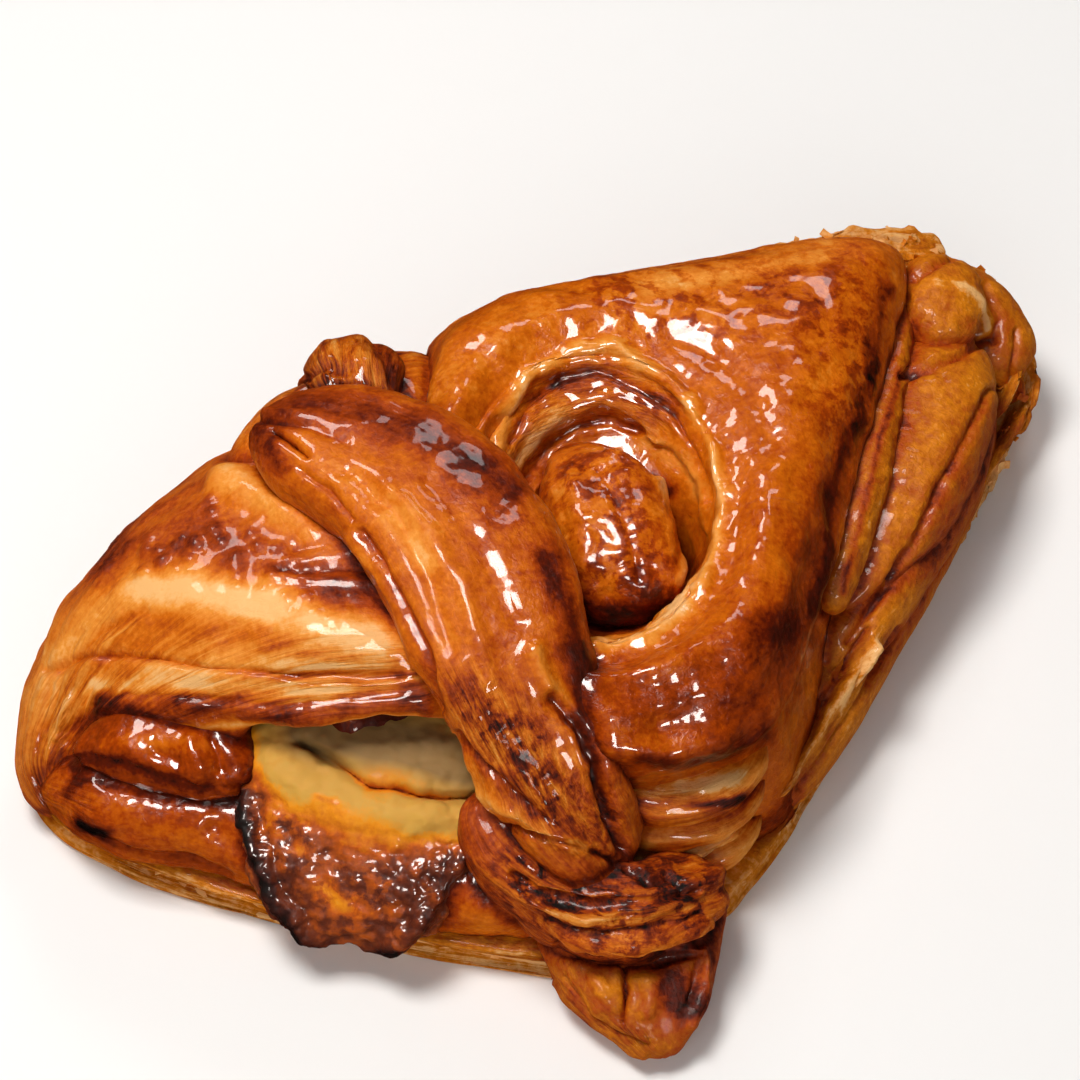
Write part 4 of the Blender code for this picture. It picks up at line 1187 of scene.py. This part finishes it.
def color(name, description, default):
    return bpy.props.FloatVectorProperty(
        name=name, description=description, default=(*default, 1.0), size=4, min=0, max=1, subtype="COLOR")


def number(name, description, default, **limits):
    return bpy.props.FloatProperty(name=name, description=description, default=default, **limits)


class DanishLooks(bpy.types.PropertyGroup):
    pale: color("Pale dough", "Torn and sheltered edges", (0.85, 0.45, 0.16))
    gold: color("Golden crust", "Lightly baked crust", (0.78, 0.28, 0.035))
    amber: color("Amber crust", "Glazed and baked crust", (0.62, 0.14, 0.003))
    brown: color("Brown crust", "Well baked crust", (0.37, 0.048, 0.001))
    dark: color("Dark crust", "Caramelised crust", (0.12, 0.010, 0.001))
    burnt: color("Burnt", "Burnt edges of crust and cheese", (0.008, 0.004, 0.003))
    ochre: color("Ochre dough", "Unglazed side folds, lightly baked", (0.66, 0.20, 0.003))
    deep_ochre: color("Deep ochre dough", "Unglazed side folds, baked", (0.44, 0.10, 0.001))
    cheese: color("Cheese", "Soft cheese, hardly baked", (0.62, 0.33, 0.055))
    cheese_yellow: color("Yellow cheese", "Cheese as it starts to brown", (0.80, 0.28, 0.005))
    cheese_orange: color("Orange cheese", "Browned cheese", (0.52, 0.095, 0.004))
    cheese_brown: color("Brown cheese", "Caramelised cheese", (0.17, 0.03, 0.008))
    cheese_dark: color("Dark cheese", "Nearly burnt cheese", (0.05, 0.010, 0.006))
    # Painted shade: the colour of cheese seen in shade deep in the mouth.
    cheese_in_shade: color("Sheltered cheese", "Cheese deep in the mouth", (0.27, 0.155, 0.05))
    streak_contrast: number("Streak contrast", "How much the layers show as streaks", 0.8, min=0, max=2)
    glaze_roughness: number("Glaze roughness", "How blurred the glaze's reflections are", 0.06, min=0, max=1)
    glaze: number("Glaze", "How much the egg glaze reflects", 0.5, min=0, max=1)


class DanishSizes(bpy.types.PropertyGroup):
    detail: number("Detail", "Share of the full number of rows and columns", 1.0, min=0.2, max=1.2)
    flake_density: number("Flake density", "Flakes for each square metre of torn edge", 90000.0, min=0)
    flake_size: number("Flake size", "Length of the largest flakes", 0.0017, min=0, unit="LENGTH")
    floor_size: number("Floor size", "Side of the square floor", 1.6, min=0.3, unit="LENGTH")
    lamp_height: number("Lamp height", "Height of the soft lamp over the floor", 0.5, unit="LENGTH")


def sized(count):
    """An even count of rows or columns, at the chosen detail."""
    return int(count * bpy.context.scene.danish_sizes.detail) // 2 * 2


# ---------------------------------------------------------------------------------------------
# Pieces


class DANISH_OT_base(bpy.types.Operator):
    """Makes the bottom sheet, whose layered rim shows all round"""
    bl_idname = "danish.base"
    bl_label = "Base sheet"

    def execute(self, context):
        skin = Skin(base_point, sized(80), sized(620), rim_grain)
        rim = np.clip(1 - np.abs(skin.normals()[:, 2]), 0, 1)
        skin.raise_by(-rim * (1.0 + 0.3 * noise(skin.points, 3.0, 22)))
        finish_dough(skin, "base_sheet", 0.17, 0.1, 21, wrinkles=0.25, layers=0.5)
        crust_piece("base_sheet", [skin], plain_crust())
        rim = torn_sheets([rim_sheet(*run) for run in RIM_SHEETS], 50, 0.06)
        strew_flakes("rim_flakes", crust_piece("base_layers", rim, plain_crust()), 5)
        return {"FINISHED"}


class DANISH_OT_cushion(bpy.types.Operator):
    """Makes the right cushion with its swirl, the bud in the swirl and the cut layers at its front corner"""
    bl_idname = "danish.cushion"
    bl_label = "Right cushion"

    def execute(self, context):
        skin = Skin(cushion_point, sized(220), sized(420), ring_grain)
        finish_dough(skin, "right_cushion", 0.49, 0.95, 1)
        crust_piece("right_cushion", [skin], glazed_crust())
        bud = fold_skin("swirl_bud", sized(120), sized(140))
        finish_dough(bud, "swirl_bud", 0.54, 0.8, 2, lumps=0.6)
        crust_piece("swirl_bud", [bud], glazed_crust())
        layers = [self.corner_layer(z, y) for z, y in CORNER_LAYERS]
        layers += torn_sheets(SHEETS["corner_layers"], 60, 0.2)
        crust_piece("corner_layers", layers, glazed_crust())
        rim = torn_sheets(SHEETS["right_cushion"], 70, 0.12)
        rim += torn_sheets([wall_sheet(*run) for run in CUT_WALLS], 75, 0.34)
        strew_flakes("rear_flakes", crust_piece("rear_rim", rim, plain_crust()), 6)
        return {"FINISHED"}

    def corner_layer(self, z, y):
        """One cut layer at the front corner, whose edge is at height z and at y."""
        stations = [
            (8, y - 2, z, 4, 2.1, 0), (13, y - 3.5, z, 4.5, 2.3, 0),
            (18.5, y - 2, z + 0.3, 4.5, 2.2, 0), (22.5, y + 3, z + 0.6, 3.5, 1.8, 0),
        ]
        grain = fold_grain(stations)
        layer = Skin(lambda s, a: fold_point(stations, s, a, blunt=5), sized(80), sized(60), grain)
        return finish_dough(layer, "corner_layers", 0.27, 0.4, 3, wrinkles=0.2, layers=0.5)


class DANISH_OT_side_folds(bpy.types.Operator):
    """Makes the unglazed folds down the right side"""
    bl_idname = "danish.side_folds"
    bl_label = "Side folds"

    def execute(self, context):
        names = [name for name in FOLDS if name.startswith("side_fold")]
        skins = []
        for seed, name in enumerate(names, 30):
            skin = fold_skin(name, sized(130), sized(90))
            finish_dough(skin, "side_folds", 0.32, 0.18, seed, lumps=0.2, wrinkles=0.06, fold=name)
            skins.append(skin)
        skins += torn_sheets(SHEETS["side_folds"], 80, 0.30)
        strew_flakes("side_flakes", crust_piece("side_folds", skins, plain_crust()), 7)
        return {"FINISHED"}


class DANISH_OT_wing(bpy.types.Operator):
    """Makes the left wing, whose layers show along its lip"""
    bl_idname = "danish.wing"
    bl_label = "Left wing"

    def execute(self, context):
        skin = fold_skin("left_wing", sized(260), sized(360))
        finish_dough(skin, "left_wing", 0.38, 0.4, 4, wrinkles=0.16)
        crust_piece("left_wing", [skin, *torn_sheets(SHEETS["left_wing"], 90, 0.25)], glazed_crust())
        return {"FINISHED"}


class DANISH_OT_lips(bpy.types.Operator):
    """Makes the lower lip of the mouth and the fold inside it"""
    bl_idname = "danish.lips"
    bl_label = "Lips of the mouth"

    def execute(self, context):
        lip = fold_skin("lower_lip", sized(240), sized(120))
        finish_dough(lip, "lower_lip", 0.54, 0.95, 5)
        crust_piece("lower_lip", [lip], glazed_crust())
        inner = fold_skin("inner_fold", sized(120), sized(120))
        finish_dough(inner, "inner_fold", 0.62, 1.0, 6, lumps=0.4, layers=0.05)
        crust_piece("inner_fold", [inner], glazed_crust())
        return {"FINISHED"}


class DANISH_OT_strap(bpy.types.Operator):
    """Makes the strap that crosses the danish, its tail at the back and its wrap round the front corner"""
    bl_idname = "danish.strap"
    bl_label = "Strap"

    def execute(self, context):
        strap = fold_skin("strap", sized(300), sized(160))
        finish_dough(strap, "strap", 0.50, 0.65, 7, wrinkles=0.15, layers=0.25)
        crust_piece("strap", [strap], glazed_crust())
        tail = fold_skin("strap_tail", sized(140), sized(100))
        finish_dough(tail, "strap_tail", 0.48, 0.6, 8, lumps=0.45, wrinkles=0.16)
        back = fold_skin("back_fold", sized(120), sized(110))
        finish_dough(back, "back_fold", 0.40, 0.6, 9, lumps=0.45, wrinkles=0.14)
        crust_piece("strap_tail", [tail, back], glazed_crust())
        wrap = fold_skin("corner_wrap", sized(180), sized(110))
        finish_dough(wrap, "corner_wrap", 0.60, 0.18, 10, lumps=0.5, wrinkles=0.45)
        crust_piece("corner_wrap", [wrap], glazed_crust())
        tip = fold_skin("corner_tip", sized(130), sized(130))
        finish_dough(tip, "corner_tip", 0.46, 0.06, 11, lumps=0.4, wrinkles=0.2)
        strew_flakes("tip_flakes", crust_piece("corner_tip", [tip], plain_crust()), 8)
        return {"FINISHED"}


class DANISH_OT_cheese(bpy.types.Operator):
    """Makes the cheese filling, from the swirl's gap to the burnt spill over the lower lip"""
    bl_idname = "danish.cheese"
    bl_label = "Cheese filling"

    def execute(self, context):
        looks = context.scene.danish_looks
        spill = fold_skin("cheese_spill", sized(220), sized(260))
        spill.paint["bake"] += 0.60
        spill.apply(CHEESE_STROKES, 40)
        browned = np.clip(spill.paint["bake"] * 2 - 0.3, 0, 1)
        points = spill.points
        bubbles = 0.5 * domes(points, 1.7, 41, share=0.7) + 0.35 * domes(points, 0.9, 43, share=0.6)
        curds = 0.32 * rough_noise(points, 3.0, 4, 41) + 0.16 * rough_noise(points, 1.1, 2, 44)
        spill.raise_by(curds + browned * (0.5 * bubbles + 0.22 * rough_noise(points, 2.2, 3, 45)))
        patches = 0.13 * rough_noise(spill.points, 4.5, 3, 47)  # the points have moved since
        spill.paint["bake"] += browned * (0.06 - 0.22 * bubbles + patches)
        spill.paint["gloss"] += browned * (0.9 - 0.8 * np.clip(spill.paint["bake"] * 4 - 3, 0, 1))
        run = fold_skin("cheese_run", sized(90), sized(90))
        run.paint["bake"] += 0.05
        # The hidden run takes the painted shade colour all over.
        run.paint["cheese_shade"] += 1.0
        run.raise_by(0.5 * rough_noise(run.points, 3.4, 3, 42) + 0.12 * noise(run.points, 0.9, 46))
        add_piece("cheese", mesh_of("cheese", [spill, run]), cheese_material(looks), CHEESE_NODE)
        return {"FINISHED"}


# ---------------------------------------------------------------------------------------------
# The stage


LAMP_AIM = (0, 0, 0.02)
GLOSS_TINT = (1.0, 0.92, 0.86)


def area_lamp(name, place, size, watts, tint, aim=LAMP_AIM, gloss=True, body=True):
    """A lamp that shows in the glaze if gloss is set, and lights the dough itself if body is."""
    lamp = bpy.data.lights.new(name, "AREA")
    lamp.shape = "RECTANGLE"
    lamp.size, lamp.size_y = size
    lamp.energy = watts
    lamp.color = tint
    made = bpy.data.objects.new(name, lamp)
    made.location = place
    made.rotation_euler = (Vector(aim) - Vector(place)).to_track_quat("-Z", "Y").to_euler()
    made.visible_diffuse = body
    made.visible_glossy = gloss
    bpy.context.scene.collection.objects.link(made)


class DANISH_OT_stage(bpy.types.Operator):
    """Makes the pale floor, the soft lamps and the display camera"""
    bl_idname = "danish.stage"
    bl_label = "Stage"

    def execute(self, context):
        sizes = context.scene.danish_sizes
        half = sizes.floor_size / 2
        mesh = bpy.data.meshes.new("floor")
        corners = [(-half, -half, 0), (half, -half, 0), (half, half, 0), (-half, half, 0)]
        mesh.from_pydata(corners, [], [(0, 1, 2, 3)])
        floor = bpy.data.objects.new("floor", mesh)
        context.scene.collection.objects.link(floor)
        material, _, shader = new_material("pale floor")
        shader.inputs["Base Color"].default_value = (0.86, 0.86, 0.86, 1)
        shader.inputs["Roughness"].default_value = 0.9
        mesh.materials.append(material)
        height = sizes.lamp_height
        area_lamp("overhead softbox", (-0.13, 0.02, height), (0.15, 0.15), 2.1, (1.0, 0.97, 0.93))
        area_lamp("gloss panel", (-0.10, -0.02, height + 0.02), (0.20, 0.24), 7.0, GLOSS_TINT, body=False)
        area_lamp("back window", (0.08, 0.42, 0.40), (0.16, 0.10), 0.5, (1.0, 0.97, 0.97))
        area_lamp(
            "front fill", (-0.15, -0.65, 0.45), (0.9, 0.5), 2.3, (1.0, 0.98, 0.95),
            aim=(0, 0, 0.01), gloss=False)
        area_lamp("front gloss", (0.15, -0.46, 0.34), (0.17, 0.12), 3.4, GLOSS_TINT, body=False)
        area_lamp("left gloss", (-0.26, 0.26, 0.36), (0.12, 0.12), 1.2, GLOSS_TINT, body=False)
        floor.visible_glossy = False
        world = context.scene.world or bpy.data.worlds.new("studio")
        context.scene.world = world
        world.use_nodes = True
        world.node_tree.nodes["Background"].inputs["Color"].default_value = (1, 1, 1, 1)
        world.node_tree.nodes["Background"].inputs["Strength"].default_value = 0.12
        world.cycles_visibility.glossy = False
        context.scene.view_settings.view_transform = "Standard"
        self.add_camera(context)
        return {"FINISHED"}

    def add_camera(self, context):
        data = bpy.data.cameras.new("display camera")
        data.sensor_width = 36.0
        data.lens = data.sensor_width * VIEW_DISTANCE / (GRID_STEPS * GRID_STEP)
        camera = bpy.data.objects.new("display camera", data)
        aim = (DISPLAY_POINT + ORIGIN_SHIFT) * MM
        camera.location = aim + toward_viewer() * VIEW_DISTANCE * MM
        camera.rotation_euler = (math.pi / 2 - GRID_ANGLE, 0, 0)
        context.scene.collection.objects.link(camera)
        context.scene.camera = camera


class DANISH_PT_panel(bpy.types.Panel):
    """Lists the danish's pieces, sizes and colours"""
    bl_idname = "DANISH_PT_panel"
    bl_label = "Cheese danish"
    bl_space_type = "VIEW_3D"
    bl_region_type = "UI"
    bl_category = "Danish"

    def draw(self, context):
        for settings in (context.scene.danish_sizes, context.scene.danish_looks):
            for key in settings.__annotations__:
                self.layout.prop(settings, key)
        for operator in OPERATORS:
            self.layout.operator(operator.bl_idname)


OPERATORS = (
    DANISH_OT_base, DANISH_OT_cushion, DANISH_OT_side_folds, DANISH_OT_wing, DANISH_OT_lips, DANISH_OT_strap,
    DANISH_OT_cheese, DANISH_OT_stage,
)
CLASSES = (DanishLooks, DanishSizes, *OPERATORS, DANISH_PT_panel)


def register():
    for item in CLASSES:
        bpy.utils.register_class(item)
    bpy.types.Scene.danish_looks = bpy.props.PointerProperty(type=DanishLooks)
    bpy.types.Scene.danish_sizes = bpy.props.PointerProperty(type=DanishSizes)


def unregister():
    del bpy.types.Scene.danish_sizes
    del bpy.types.Scene.danish_looks
    for item in reversed(CLASSES):
        bpy.utils.unregister_class(item)


def main():
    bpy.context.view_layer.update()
    register()
    COARSE.update(coarse_skins())
    for operator in OPERATORS:
        getattr(bpy.ops.danish, operator.bl_idname.split(".")[1])()


if __name__ == "__main__":
    main()
